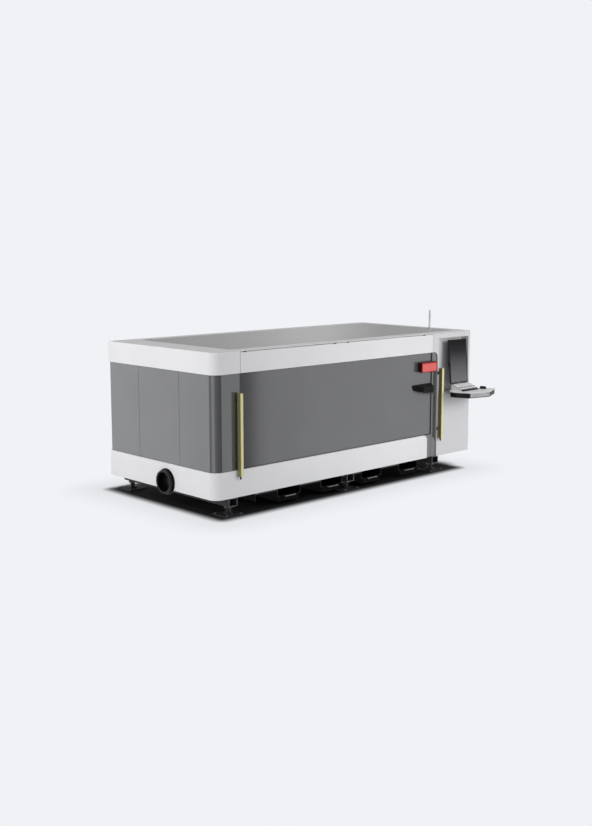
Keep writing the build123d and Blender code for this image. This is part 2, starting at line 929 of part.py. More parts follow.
# Sloped keyboard, wrist rest and mouse on the tray
keyboard_x = monitor_x + keyboard_shift
keyboard_y0 = front - keyboard_back - keyboard_depth
keyboard_y1 = front - keyboard_back
keyboard_rise = keyboard_rear_height - keyboard_front_height
keyboard_angle = atan2(keyboard_rise, keyboard_depth)
keyboard_run = hypot(keyboard_rise, keyboard_depth)
key_pitch_x = (keyboard_width - 2 * key_rim) / key_columns
key_pitch_y = (keyboard_run - 2 * key_rim) / key_rows
key_plane = Plane(
    origin=(
        keyboard_x, (keyboard_y0 + keyboard_y1) / 2,
        tray_top + (keyboard_front_height + keyboard_rear_height) / 2,
    ),
    x_dir=(1, 0, 0),
    z_dir=(0, -sin(keyboard_angle), cos(keyboard_angle)),
)
with BuildPart() as keyboard:
    with BuildSketch(Plane.YZ.offset(keyboard_x - keyboard_width / 2)):
        with BuildLine():
            Polyline(
                (keyboard_y0, tray_top), (keyboard_y1, tray_top),
                (keyboard_y1, tray_top + keyboard_rear_height),
                (keyboard_y0, tray_top + keyboard_front_height), close=True,
            )
        make_face()
    extrude(amount=keyboard_width)
    chamfer(keyboard.edges().filter_by(Axis.Z), keyboard_edge)
    with BuildSketch(key_plane):
        with GridLocations(key_pitch_x, key_pitch_y, key_columns, key_rows):
            Rectangle(key_pitch_x - key_gap, key_pitch_y - key_gap)
    extrude(amount=key_height)
keyboard.part.label = "keyboard"
export_step(keyboard.part, "parts/keyboard.step")

with BuildPart() as wrist_rest:
    with BuildSketch(Plane.XY.offset(tray_top)):
        with Locations((monitor_x + wrist_shift, front - wrist_back - wrist_depth / 2)):
            RectangleRounded(wrist_width, wrist_depth, wrist_depth / 3)
    extrude(amount=wrist_height)
    fillet(wrist_rest.edges().group_by(Axis.Z)[-1], wrist_fillet)
wrist_rest.part.label = "wrist_rest"
export_step(wrist_rest.part, "parts/wrist_rest.step")

with BuildPart() as mouse:
    with BuildSketch(Plane.XY.offset(tray_top)):
        with Locations((monitor_x + mouse_shift, front - mouse_back - mouse_length / 2)):
            Ellipse(mouse_width / 2, mouse_length / 2)
    extrude(amount=mouse_height)
    fillet(mouse.edges().group_by(Axis.Z)[-1], mouse_fillet)
mouse.part.label = "mouse"
export_step(mouse.part, "parts/mouse.step")

# Safety light curtains, their windows, brackets and plugs
curtain_back = front - curtain_stand
curtain_front = curtain_back - curtain_depth
curtain_middle = (curtain_back + curtain_front) / 2
curtain_left_x = left + door_start - curtain_left_room
curtain_right_x = console_left + curtain_right_shift
curtain_sides = ((curtain_left_x, 1), (curtain_right_x, -1))
with BuildPart() as light_curtains:
    with BuildSketch(Plane.XY.offset(curtain_bottom)):
        for curtain_x, facing in curtain_sides:
            with Locations((curtain_x, curtain_middle)):
                RectangleRounded(curtain_width, curtain_depth, curtain_edge)
            with Locations((curtain_x + facing * (curtain_width - lens_depth) / 2, curtain_middle)):
                Rectangle(lens_depth, lens_width, mode=Mode.SUBTRACT)
    extrude(amount=curtain_length)
light_curtains.part.label = "light_curtains"
export_step(light_curtains.part, "parts/light_curtains.step")

with BuildPart() as curtain_lenses:
    with BuildSketch(Plane.XY.offset(curtain_bottom + lens_end_room)):
        for curtain_x, facing in curtain_sides:
            with Locations((curtain_x + facing * (curtain_width - lens_depth) / 2, curtain_middle)):
                Rectangle(lens_depth, lens_width)
    extrude(amount=curtain_length - 2 * lens_end_room)
curtain_lenses.part.label = "curtain_lenses"
export_step(curtain_lenses.part, "parts/curtain_lenses.step")

bracket_half = curtain_bracket_width / 2
with BuildPart() as curtain_brackets:
    for bracket_share in curtain_bracket_shares:
        bracket_z0 = curtain_bottom + bracket_share * curtain_length - curtain_bracket_height / 2
        bracket_z1 = bracket_z0 + curtain_bracket_height
        span_box(
            curtain_left_x - bracket_half, curtain_left_x + bracket_half,
            curtain_back, front + panel_set, bracket_z0, bracket_z1,
        )
        span_box(
            console_left, curtain_right_x + bracket_half, curtain_back, front, bracket_z0, bracket_z1,
        )
curtain_brackets.part.label = "curtain_brackets"
export_step(curtain_brackets.part, "parts/curtain_brackets.step")

with BuildPart() as curtain_plugs:
    with BuildSketch(Plane.XY.offset(curtain_bottom - plug_height)):
        with Locations((curtain_left_x, curtain_middle), (curtain_right_x, curtain_middle)):
            Circle(plug_radius)
    extrude(amount=plug_height)
    with BuildSketch(Plane.XY.offset(curtain_bottom - plug_nut_height)):
        with Locations((curtain_left_x, curtain_middle), (curtain_right_x, curtain_middle)):
            Circle(plug_nut_radius)
    extrude(amount=plug_nut_height)
curtain_plugs.part.label = "curtain_plugs"
export_step(curtain_plugs.part, "parts/curtain_plugs.step")

# Exhaust collar: a flanged spigot through the skirt
with BuildPart() as exhaust_collar:
    with BuildSketch(Plane.YZ.offset(left - collar_reach)):
        with Locations((collar_y, collar_centre_height)):
            Circle(collar_radius)
    extrude(amount=collar_reach + collar_tail)
    with BuildSketch(Plane.YZ.offset(left - collar_flange_sheet)):
        with Locations((collar_y, collar_centre_height)):
            Circle(collar_flange_radius)
    extrude(amount=collar_flange_sheet)
    with BuildSketch(Plane.YZ.offset(left - collar_reach - cut_over)):
        with Locations((collar_y, collar_centre_height)):
            Circle(collar_radius - collar_wall)
    extrude(amount=collar_reach + collar_tail + 2 * cut_over, mode=Mode.SUBTRACT)
exhaust_collar.part.label = "exhaust_collar"
export_step(exhaust_collar.part, "parts/exhaust_collar.step")

# Signal lamp: a turned column with two grooves
with BuildPart() as signal_lamp:
    with BuildSketch(Plane.XY.offset(roof_top)):
        with Locations((right - signal_end_room, front + signal_inset)):
            Circle(signal_base_radius)
    extrude(amount=signal_base_height)
    with BuildSketch(Plane.XY.offset(roof_top)):
        with Locations((right - signal_end_room, front + signal_inset)):
            Circle(signal_radius)
    extrude(amount=signal_height)
    for groove_share in signal_groove_shares:
        with BuildSketch(Plane.XY.offset(roof_top + groove_share * signal_height)):
            with Locations((right - signal_end_room, front + signal_inset)):
                Circle(signal_radius)
                Circle(signal_radius - signal_groove, mode=Mode.SUBTRACT)
        extrude(amount=signal_groove, mode=Mode.SUBTRACT)
signal_lamp.part.label = "signal_lamp"
export_step(signal_lamp.part, "parts/signal_lamp.step")

# Cutting table: comb rails, end bars and lugs to the bed beams
table_middle_x = left + sheet_middle
table_x0 = table_middle_x - sheet_length / 2 - table_end_room
table_x1 = table_middle_x + sheet_length / 2 + table_end_room
table_y0 = middle - sheet_width / 2 - slat_overhang
table_y1 = middle + sheet_width / 2 + slat_overhang
slat_bottom = slat_top - slat_height
comb_top = slat_bottom + comb_depth
table_bottom = comb_top - table_rail_height
slat_count = int(sheet_length / slat_pitch) + 1
slat_places = [table_middle_x + (index - (slat_count - 1) / 2) * slat_pitch for index in range(slat_count)]
table_lug_places = [table_x0 + share * (table_x1 - table_x0) for share in table_lug_shares]
with BuildPart() as table_frame:
    with BuildSketch(Plane.XY.offset(table_bottom)):
        span_rectangle(table_x0, table_x1, table_y0, table_y1)
        span_rectangle(
            table_x0 + table_rail_width / 2, table_x1 - table_rail_width / 2,
            table_y0 + table_rail_width, table_y1 - table_rail_width, mode=Mode.SUBTRACT,
        )
    extrude(amount=table_rail_height)
    with BuildSketch(Plane.XY.offset(slat_bottom)):
        with Locations(*[(slat_x, middle) for slat_x in slat_places]):
            Rectangle(slat_thickness + 2 * comb_play, body_width)
    extrude(amount=comb_depth + cut_over, mode=Mode.SUBTRACT)
    with BuildSketch(Plane.XY.offset(table_bottom)):
        for lug_x in table_lug_places:
            for lug_y0, lug_y1 in ((front_beam[1], table_y0), (table_y1, rear_beam[0])):
                span_rectangle(lug_x - table_lug_width / 2, lug_x + table_lug_width / 2, lug_y0, lug_y1)
    extrude(amount=table_lug_height)
table_frame.part.label = "table_frame"
export_step(table_frame.part, "parts/table_frame.step")

# Serrated slats that stand in the combs
tooth_pitch = (table_y1 - table_y0) / tooth_count
slat_points = [(table_y0, slat_bottom), (table_y1, slat_bottom)]
for tooth_index in range(tooth_count):
    tooth_y = table_y1 - tooth_index * tooth_pitch
    tooth_middle = tooth_y - tooth_pitch / 2
    slat_points.append((tooth_y, slat_top - tooth_depth))
    slat_points.append((tooth_middle + tooth_tip / 2, slat_top))
    slat_points.append((tooth_middle - tooth_tip / 2, slat_top))
slat_points.append((table_y0, slat_top - tooth_depth))
with BuildPart() as slats:
    with BuildSketch(*[Plane.YZ.offset(slat_x - slat_thickness / 2) for slat_x in slat_places]):
        with BuildLine():
            Polyline(*slat_points, close=True)
        make_face()
    extrude(amount=slat_thickness)
slats.part.label = "slats"
export_step(slats.part, "parts/slats.step")

# Slag chutes: folded ridges between the drawers
drawer_places = [left + first_drawer + index * drawer_pitch for index in range(drawer_count)]
first_ridge = drawer_places[0] - drawer_pitch / 2
chute_ridges = [first_ridge + index * drawer_pitch for index in range(drawer_count + 1)]
chute_run = (drawer_pitch - drawer_mouth) / 2
with BuildPart() as slag_chutes:
    with BuildSketch(Plane.XZ.offset(-rear_beam[0])):
        for ridge_index, ridge_x in enumerate(chute_ridges):
            sides = [-1, 1]
            if ridge_index == 0:
                sides = [1]
            if ridge_index == drawer_count:
                sides = [-1]
            for side in sides:
                with BuildLine():
                    Polyline(
                        (ridge_x, chute_ridge),
                        (ridge_x + side * chute_run, chute_bottom),
                        (ridge_x + side * (chute_run - chute_sheet), chute_bottom),
                        (ridge_x, chute_ridge - 2 * chute_sheet),
                        close=True,
                    )
                make_face()
    extrude(amount=rear_beam[0] - front_beam[1])
slag_chutes.part.label = "slag_chutes"
export_step(slag_chutes.part, "parts/slag_chutes.step")

# Hung runners that carry the drawers by their rims
rim_half = drawer_mouth / 2 + rim_width
web_inner = rim_half + drawer_play
runner_bottom = floor_gap - runner_bar - runner_leg
runner_y0 = front + runner_start
runner_y1 = back - runner_start
tube_half = cross_tube_width / 2
with BuildPart() as drawer_runners:
    for drawer_x in drawer_places:
        for side in (-1, 1):
            inner_x = drawer_x + side * web_inner
            outer_x = inner_x + side * runner_web
            flange_x = inner_x - side * runner_flange
            span_box(
                min(inner_x, outer_x), max(inner_x, outer_x), runner_y0, runner_y1,
                runner_bottom, floor_gap,
            )
            span_box(
                min(flange_x, outer_x), max(flange_x, outer_x), runner_y0, runner_y1,
                runner_bottom, runner_bottom + runner_web,
            )
    web_outer = web_inner + runner_web
    bar_spans = [(drawer_places[0] - drawer_pitch + web_outer, drawer_places[0] - web_outer)]
    for drawer_x in drawer_places[:-1]:
        bar_spans.append((drawer_x + web_outer, drawer_x + drawer_pitch - web_outer))
    for bar_x0, bar_x1 in bar_spans:
        span_box(
            bar_x0, bar_x1, runner_y0, runner_y0 + runner_bar_depth,
            floor_gap - runner_bar, floor_gap,
        )
    span_box(
        bar_spans[0][0] - runner_web, bar_spans[0][0], runner_y0, runner_y1,
        runner_bottom, floor_gap,
    )
    for foot_place in foot_places:
        foot_x = left + foot_place
        span_box(
            foot_x - tube_half, foot_x + tube_half, front, back,
            cross_tube_bottom, floor_gap, mode=Mode.SUBTRACT,
        )
drawer_runners.part.label = "drawer_runners"
export_step(drawer_runners.part, "parts/drawer_runners.step")

# Slag drawers: folded tubs with a rim and a pull bar
rim_bottom = runner_bottom + runner_web + drawer_play
rim_top = rim_bottom + rim_height
tub_bottom = drawer_floor_gap
tub_y0 = front + drawer_start
tub_y1 = back - drawer_back_room
handle_z = tub_bottom + handle_height_share * (rim_top - tub_bottom)
for drawer_index, drawer_x in enumerate(drawer_places):
    tub_x0 = drawer_x - drawer_mouth / 2 + runner_flange - rim_width + drawer_play
    tub_x1 = 2 * drawer_x - tub_x0
    with BuildPart() as slag_drawer:
        span_box(tub_x0, tub_x1, tub_y0, tub_y1, tub_bottom, rim_top)
        span_box(
            drawer_x - rim_half, drawer_x + rim_half, tub_y0, tub_y1, rim_bottom, rim_top
        )
        span_box(
            tub_x0 + drawer_wall, tub_x1 - drawer_wall, tub_y0 + drawer_wall, tub_y1 - drawer_wall,
            tub_bottom + drawer_wall, rim_top + cut_over, mode=Mode.SUBTRACT,
        )
        with BuildSketch(Plane.XY.offset(handle_z - handle_bar / 2)):
            span_rectangle(
                drawer_x - handle_length / 2, drawer_x + handle_length / 2,
                tub_y0 - handle_reach, tub_y0,
            )
            span_rectangle(
                drawer_x - handle_length / 2 + handle_bar, drawer_x + handle_length / 2 - handle_bar,
                tub_y0 - handle_reach + handle_bar, tub_y0, mode=Mode.SUBTRACT,
            )
        extrude(amount=handle_bar)
    slag_drawer.part.label = f"slag_drawer_{drawer_index + 1}"
    export_step(slag_drawer.part, f"parts/slag_drawer_{drawer_index + 1}.step")

# Door: header, bowed grey panel and inner liner


def door_profile(inset):
    """Plan of the grey door skin, bowed back at its left edge and open behind."""
    face_y = front + door_set + inset
    back_y = front + door_depth
    x0, x1 = door_left + inset, door_right - inset
    bow_x = door_left + bow_length
    with BuildSketch() as profile:
        with BuildLine():
            Polyline((bow_x, face_y), (x1, face_y), (x1, back_y), (x0, back_y), (x0, face_y + door_bow))
            TangentArc((bow_x, face_y), (x0, face_y + door_bow), tangent=(-1, 0))
        make_face()
    return profile.sketch


with BuildPart() as door_panel:
    with BuildSketch(Plane.XY.offset(door_bottom)):
        add(door_profile(0))
    extrude(amount=band_bottom - door_bottom)
    with BuildSketch(Plane.XY.offset(door_bottom + sheet)):
        add(door_profile(sheet))
    extrude(amount=band_bottom - door_bottom - 2 * sheet, mode=Mode.SUBTRACT)
door_panel.part.label = "door_panel"
export_step(door_panel.part, "parts/door_panel.step")

hinge_places = [door_left + share * door_width for share in hinge_place_shares]
leaf_half = 1.5 * knuckle_length + knuckle_gap + leaf_margin
leaf_start = hinge_y + knuckle_radius + leaf_margin
with BuildPart() as door_header:
    span_box(door_left, door_right, front, front + door_depth, band_bottom, header_top)
    span_box(
        door_left + sheet, door_right - sheet, front + sheet, front + door_depth + cut_over,
        band_bottom + sheet, header_top - sheet, mode=Mode.SUBTRACT,
    )
    for hinge_x in hinge_places:
        span_box(
            hinge_x - leaf_half, hinge_x + leaf_half, front - cut_over, leaf_start,
            hinge_height - knuckle_radius - leaf_margin, header_top + cut_over, mode=Mode.SUBTRACT,
        )
door_header.part.label = "door_header"
export_step(door_header.part, "parts/door_header.step")

liner_back = front + door_depth + sheet
with BuildPart() as door_liner:
    span_box(door_left, door_right, front + door_depth, liner_back, door_bottom, header_top)
door_liner.part.label = "door_liner"
export_step(door_liner.part, "parts/door_liner.step")

# Hinges: leaves under the roof lip, leaves on the door, pins
bore_radius = hinge_pin_radius + pin_clearance
with BuildPart() as hinge_leaves:
    for hinge_x in hinge_places:
        with BuildSketch(Plane.YZ.offset(hinge_x - knuckle_length / 2)):
            with Locations((hinge_y, hinge_height)):
                Circle(knuckle_radius)
            span_rectangle(hinge_y, leaf_start, lip_bottom - leaf_thickness, lip_bottom)
        extrude(amount=knuckle_length)
        span_box(
            hinge_x - leaf_half, hinge_x + leaf_half, leaf_start, leaf_start + leaf_reach,
            lip_bottom - leaf_thickness, lip_bottom,
        )
        with BuildSketch(Plane.YZ.offset(hinge_x - knuckle_length)):
            with Locations((hinge_y, hinge_height)):
                Circle(bore_radius)
        extrude(amount=2 * knuckle_length, mode=Mode.SUBTRACT)
hinge_leaves.part.label = "hinge_leaves"
export_step(hinge_leaves.part, "parts/hinge_leaves.step")

with BuildPart() as door_hinge_leaves:
    for hinge_x in hinge_places:
        for side in (-1, 1):
            near_x = hinge_x + side * (knuckle_length / 2 + knuckle_gap)
            far_x = near_x + side * knuckle_length
            with BuildSketch(Plane.YZ.offset(min(near_x, far_x))):
                with Locations((hinge_y, hinge_height)):
                    Circle(knuckle_radius)
                span_rectangle(hinge_y, leaf_start, header_top, header_top + leaf_thickness)
                with Locations((hinge_y, hinge_height)):
                    Circle(bore_radius, mode=Mode.SUBTRACT)
            extrude(amount=knuckle_length)
        span_box(
            hinge_x - leaf_half, hinge_x + leaf_half, leaf_start, leaf_start + leaf_reach,
            header_top, header_top + leaf_thickness,
        )
door_hinge_leaves.part.label = "door_hinge_leaves"
export_step(door_hinge_leaves.part, "parts/door_hinge_leaves.step")

with BuildPart() as hinge_pins:
    for hinge_x in hinge_places:
        with BuildSketch(Plane.YZ.offset(hinge_x - leaf_half + leaf_margin)):
            with Locations((hinge_y, hinge_height)):
                Circle(hinge_pin_radius)
        extrude(amount=2 * leaf_half - 2 * leaf_margin)
hinge_pins.part.label = "hinge_pins"
export_step(hinge_pins.part, "parts/hinge_pins.step")

# Red status lamp at the door's right edge, overhanging the pillar on a foot
door_face = front + door_set
lamp_x1 = door_right + lamp_overhang
lamp_x0 = lamp_x1 - lamp_width
lamp_face = front - lamp_front
lamp_top = lamp_bottom + lamp_height
with BuildPart() as lamp_box:
    span_box(
        lamp_x0, lamp_x1, lamp_face + lens_thickness, front + lamp_back, lamp_bottom, lamp_top,
    )
    fillet(lamp_box.edges().filter_by(Axis.Y), lamp_wall)
    span_box(
        lamp_x0 + lamp_foot_inset, door_right - lamp_foot_inset, front + lamp_back, door_face,
        lamp_bottom + lamp_foot_inset, lamp_top - lamp_foot_inset,
    )
lamp_box.part.label = "lamp_box"
export_step(lamp_box.part, "parts/lamp_box.step")

with BuildPart() as lamp_lens:
    span_box(
        lamp_x0 + lamp_wall / 2, lamp_x1 - lamp_wall / 2, lamp_face, lamp_face + lens_thickness,
        lamp_bottom + lamp_wall / 2, lamp_top - lamp_wall / 2,
    )
    fillet(lamp_lens.edges().filter_by(Axis.Y), lamp_wall / 2)
    chamfer(lamp_lens.faces().sort_by(Axis.Y)[0].edges(), lens_crown)
lamp_lens.part.label = "lamp_lens"
export_step(lamp_lens.part, "parts/lamp_lens.step")

# Moulded pull: thin at the left, deep at the right, hollow below for the fingers
grip_x1 = door_right - grip_edge_room
grip_x0 = grip_x1 - grip_width
grip_face = door_face - grip_reach
grip_bottom = grip_top - grip_height
with BuildPart() as door_grip:
    with BuildSketch(Plane.XZ.offset(-door_face)):
        with BuildLine():
            Polyline(
                (grip_x0, grip_top - grip_tip_height), (grip_x0 + grip_heel_run, grip_top - grip_heel_drop),
                (grip_x0 + grip_belly_run, grip_bottom), (grip_x1, grip_bottom),
                (grip_x1, grip_top + grip_top_rise), (grip_x0, grip_top), close=True,
            )
        make_face()
    extrude(amount=grip_reach)
    with BuildSketch(Plane.XY.offset(grip_bottom)):
        with BuildLine():
            Polyline(
                (grip_x0, door_face), (grip_x0 + grip_left_taper, grip_face),
                (grip_x1 - grip_right_taper, grip_face), (grip_x1, door_face), close=True,
            )
        make_face()
    extrude(amount=grip_height + grip_top_rise, mode=Mode.INTERSECT)
    with BuildSketch(Plane.YZ.offset(grip_x0 - cut_over)):
        with BuildLine():
            Polyline(
                (door_face, grip_top + grip_top_rise), (grip_face, grip_top + grip_top_rise - grip_slope),
                (grip_face - cut_over, grip_top + grip_top_rise - grip_slope),
                (grip_face - cut_over, grip_top + grip_top_rise + cut_over),
                (door_face, grip_top + grip_top_rise + cut_over), close=True,
            )
        make_face()
    extrude(amount=grip_width + 2 * cut_over, mode=Mode.SUBTRACT)
    fillet(door_grip.edges().filter_by(Axis.X).group_by(Axis.Y)[0], grip_fillet)
    with BuildSketch(Plane.XY.offset(grip_bottom - cut_over)):
        with BuildLine():
            Polyline(
                (grip_x0 + grip_left_taper, door_face - grip_wall),
                (grip_x0 + grip_left_taper + grip_wall, grip_face + grip_wall),
                (grip_x1 - grip_right_taper - grip_wall, grip_face + grip_wall),
                (grip_x1 - grip_right_taper, door_face - grip_wall), close=True,
            )
        make_face()
    extrude(amount=cut_over + grip_height - grip_slope - grip_roof, mode=Mode.SUBTRACT)
door_grip.part.label = "door_grip"
export_step(door_grip.part, "parts/door_grip.step")

# Gantry: box beam, end carriages, drive units and cross rails
gantry_x = left + gantry_place
gantry_top = gantry_bottom + gantry_height
carriage_y0 = rail_centres[0] - carriage_width / 2
carriage_y1 = rail_centres[1] + carriage_width / 2
gantry_y0 = carriage_y0 - gantry_end_room
gantry_y1 = carriage_y1 + gantry_end_room
gantry_face = gantry_x + gantry_width / 2
with BuildPart() as gantry_beam:
    with BuildSketch(Plane.XZ.offset(-gantry_y1)) as beam_section:
        with Locations((gantry_x, gantry_bottom + gantry_height / 2)):
            Rectangle(gantry_width, gantry_height)
            Rectangle(gantry_width - 2 * gantry_wall, gantry_height - 2 * gantry_wall, mode=Mode.SUBTRACT)
            Rectangle(gantry_width, gantry_wall)
            Rectangle(gantry_wall, gantry_height)
    extrude(amount=gantry_y1 - gantry_y0)
    long_edges = gantry_beam.edges().filter_by(Axis.Y)
    chamfer(long_edges.group_by(Axis.X)[0] + long_edges.group_by(Axis.X)[-1], gantry_chamfer / 2)
gantry_beam.part.label = "gantry_beam"
export_step(gantry_beam.part, "parts/gantry_beam.step")

carriage_bottom = beam_top + carriage_lift
with BuildPart() as end_carriages:
    with BuildSketch(*[Plane.XZ.offset(-rail_y - carriage_width / 2) for rail_y in rail_centres]):
        with BuildLine():
            Polyline(
                (gantry_x - carriage_foot / 2, carriage_bottom),
                (gantry_x + carriage_foot / 2, carriage_bottom),
                (gantry_x + carriage_foot / 2, carriage_bottom + carriage_foot_height),
                (gantry_x + carriage_neck / 2, carriage_bottom + 2 * carriage_foot_height),
                (gantry_x + carriage_neck / 2, gantry_bottom),
                (gantry_x - carriage_neck / 2, gantry_bottom),
                (gantry_x - carriage_neck / 2, carriage_bottom + 2 * carriage_foot_height),
                (gantry_x - carriage_foot / 2, carriage_bottom + carriage_foot_height),
                close=True,
            )
        make_face()
    extrude(amount=carriage_width)
    for rail_y in rail_centres:
        rail_half = rail_width / 2 + slide_play
        span_box(
            gantry_x - carriage_foot, gantry_x + carriage_foot, rail_y - rail_half, rail_y + rail_half,
            carriage_bottom - cut_over, rail_top + slide_play, mode=Mode.SUBTRACT,
        )
end_carriages.part.label = "end_carriages"
export_step(end_carriages.part, "parts/end_carriages.step")

gearbox_bottom = beam_top + gearbox_lift
with BuildPart() as drive_units:
    for rail_y, inward in ((rail_centres[0], 1), (rail_centres[1], -1)):
        near_y = rail_y + inward * carriage_width / 2
        far_y = near_y + inward * motor_side
        motor_y = (near_y + far_y) / 2
        span_box(
            gantry_x - motor_side / 2, gantry_x + motor_side / 2, min(near_y, far_y), max(near_y, far_y),
            gearbox_bottom, gearbox_bottom + gearbox_height,
        )
        with BuildSketch(Plane.XY.offset(gearbox_bottom + gearbox_height)):
            with Locations((gantry_x, motor_y)):
                RectangleRounded(motor_neck, motor_neck, motor_neck / 6)
        extrude(amount=motor_height)
drive_units.part.label = "drive_units"
export_step(drive_units.part, "parts/drive_units.step")

cross_rail_heights = [gantry_bottom + share * gantry_height for share in cross_rail_shares]
with BuildPart() as cross_rails:
    for cross_z in cross_rail_heights:
        span_box(
            gantry_face, gantry_face + cross_rail_height,
            gantry_y0 + cross_rail_end_room, gantry_y1 - cross_rail_end_room,
            cross_z - cross_rail_width / 2, cross_z + cross_rail_width / 2,
        )
cross_rails.part.label = "cross_rails"
export_step(cross_rails.part, "parts/cross_rails.step")

# Head carriage on the cross rails, with the vertical slide's tower
head_y = middle + sheet_width / 2
plate_x0 = gantry_face + head_plate_gap
plate_x1 = gantry_face + cross_rail_height + head_plate
with BuildPart() as head_carriage:
    span_box(
        plate_x0, plate_x1, head_y - head_width / 2, head_y + head_width / 2,
        gantry_bottom + head_plate_rim, gantry_top - head_plate_rim,
    )
    for cross_z in cross_rail_heights:
        rail_half = cross_rail_width / 2 + slide_play
        span_box(
            plate_x0 - cut_over, gantry_face + cross_rail_height + slide_play,
            head_y - head_width, head_y + head_width,
            cross_z - rail_half, cross_z + rail_half, mode=Mode.SUBTRACT,
        )
head_carriage.part.label = "head_carriage"
export_step(head_carriage.part, "parts/head_carriage.step")

tower_x1 = plate_x1 + tower_depth
with BuildPart() as lift_tower:
    span_box(
        plate_x1, tower_x1, head_y - tower_width / 2, head_y + tower_width / 2,
        tower_bottom, tower_bottom + tower_height,
    )
    with BuildSketch(Plane.XY.offset(tower_bottom + tower_height)):
        with Locations(((plate_x1 + tower_x1) / 2, head_y)):
            Circle(tower_motor_radius)
    extrude(amount=tower_motor_height)
lift_tower.part.label = "lift_tower"
export_step(lift_tower.part, "parts/lift_tower.step")

# Cutting head: back plate, optics body, cone and nozzle
head_x0 = tower_x1 + slide_play
head_x = head_x0 + head_back_plate + head_body_side / 2
cone_top = nozzle_rest + nozzle_height + head_cone_height
with BuildPart() as cutting_head:
    span_box(
        head_x0, head_x0 + head_back_plate, head_y - tower_width / 2, head_y + tower_width / 2,
        cone_top + head_fillet, cone_top + head_fillet + head_back_height,
    )
    with BuildSketch(Plane.XY.offset(cone_top)):
        with Locations((head_x, head_y)):
            RectangleRounded(head_body_side, head_body_side, head_fillet)
    extrude(amount=head_body_height)
    with BuildSketch(Plane.XY.offset(cone_top + head_body_height)):
        with Locations((head_x, head_y)):
            Circle(collimator_radius)
    extrude(amount=collimator_height)
    with BuildSketch(Plane.XY.offset(cone_top)):
        with Locations((head_x, head_y)):
            Circle(head_body_side / 2)
    with BuildSketch(Plane.XY.offset(cone_top - head_cone_height)):
        with Locations((head_x, head_y)):
            Circle(head_cone_radius)
    loft()
cutting_head.part.label = "cutting_head"
export_step(cutting_head.part, "parts/cutting_head.step")

with BuildPart() as nozzle:
    with BuildSketch(Plane.XZ.offset(-head_y)):
        with BuildLine():
            Polyline(
                (head_x + nozzle_bore, nozzle_rest), (head_x + nozzle_tip_radius, nozzle_rest),
                (head_x + nozzle_radius, nozzle_rest + nozzle_height / 2),
                (head_x + nozzle_radius, nozzle_rest + nozzle_height),
                (head_x + nozzle_bore, nozzle_rest + nozzle_height), close=True,
            )
        make_face()
    revolve(axis=Axis((head_x, head_y, 0), (0, 0, 1)))
nozzle.part.label = "nozzle"
export_step(nozzle.part, "parts/nozzle.step")

# Laser source, fixed to the bulkhead in the right bay
laser_y0 = front + console_depth + laser_room
laser_length = laser_length_share * console_width
with BuildPart() as laser_source:
    span_box(
        console_left, console_left + laser_length, laser_y0, laser_y0 + laser_width,
        laser_bottom, laser_bottom + laser_height,
    )
    fillet(laser_source.edges().filter_by(Axis.Z).sort_by(Axis.X)[-2:], laser_corner)
    span_box(
        console_left - cut_over, console_left + laser_length - sheet,
        laser_y0 + sheet, laser_y0 + laser_width - sheet,
        laser_bottom + sheet, laser_bottom + laser_height - sheet, mode=Mode.SUBTRACT,
    )
    with BuildSketch(Plane.XY.offset(laser_bottom + laser_height)):
        with Locations((console_left + laser_length / 2, laser_y0 + laser_width / 2)):
            Circle(laser_port_radius)
    extrude(amount=laser_port_length)
laser_source.part.label = "laser_source"
export_step(laser_source.part, "parts/laser_source.step")
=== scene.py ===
import math

import bmesh
import bpy
from mathutils import Matrix, Vector


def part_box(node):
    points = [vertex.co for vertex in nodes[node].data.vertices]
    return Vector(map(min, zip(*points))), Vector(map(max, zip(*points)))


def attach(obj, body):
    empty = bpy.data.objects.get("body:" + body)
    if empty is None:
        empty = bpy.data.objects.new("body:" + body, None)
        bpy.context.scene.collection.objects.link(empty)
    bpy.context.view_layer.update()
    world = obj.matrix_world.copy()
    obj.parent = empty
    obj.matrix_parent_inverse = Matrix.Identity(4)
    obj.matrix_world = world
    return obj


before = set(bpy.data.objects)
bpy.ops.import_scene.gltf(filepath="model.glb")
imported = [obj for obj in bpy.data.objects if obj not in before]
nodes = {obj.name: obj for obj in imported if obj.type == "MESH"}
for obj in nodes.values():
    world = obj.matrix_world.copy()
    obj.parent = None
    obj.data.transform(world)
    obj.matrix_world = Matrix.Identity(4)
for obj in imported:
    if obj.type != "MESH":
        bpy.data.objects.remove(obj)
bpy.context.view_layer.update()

scene = bpy.context.scene
scene.view_settings.view_transform = "Standard"

ROOT = "machine_body"
SKIRT_LO = Vector(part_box("lower_skirt")[0])


def at(u, v, z):
    """A point measured in millimetres from the body's left end, its front and the floor."""
    return Vector((SKIRT_LO.x + u / 1000.0, SKIRT_LO.y + v / 1000.0, z / 1000.0))


# Materials

def lin(*rgb):
    """Linear colour from 0 to 255 screen values."""
    out = []
    for c in rgb:
        c = c / 255.0
        out.append(c / 12.92 if c <= 0.04045 else ((c + 0.055) / 1.055) ** 2.4)
    return (*out, 1.0)


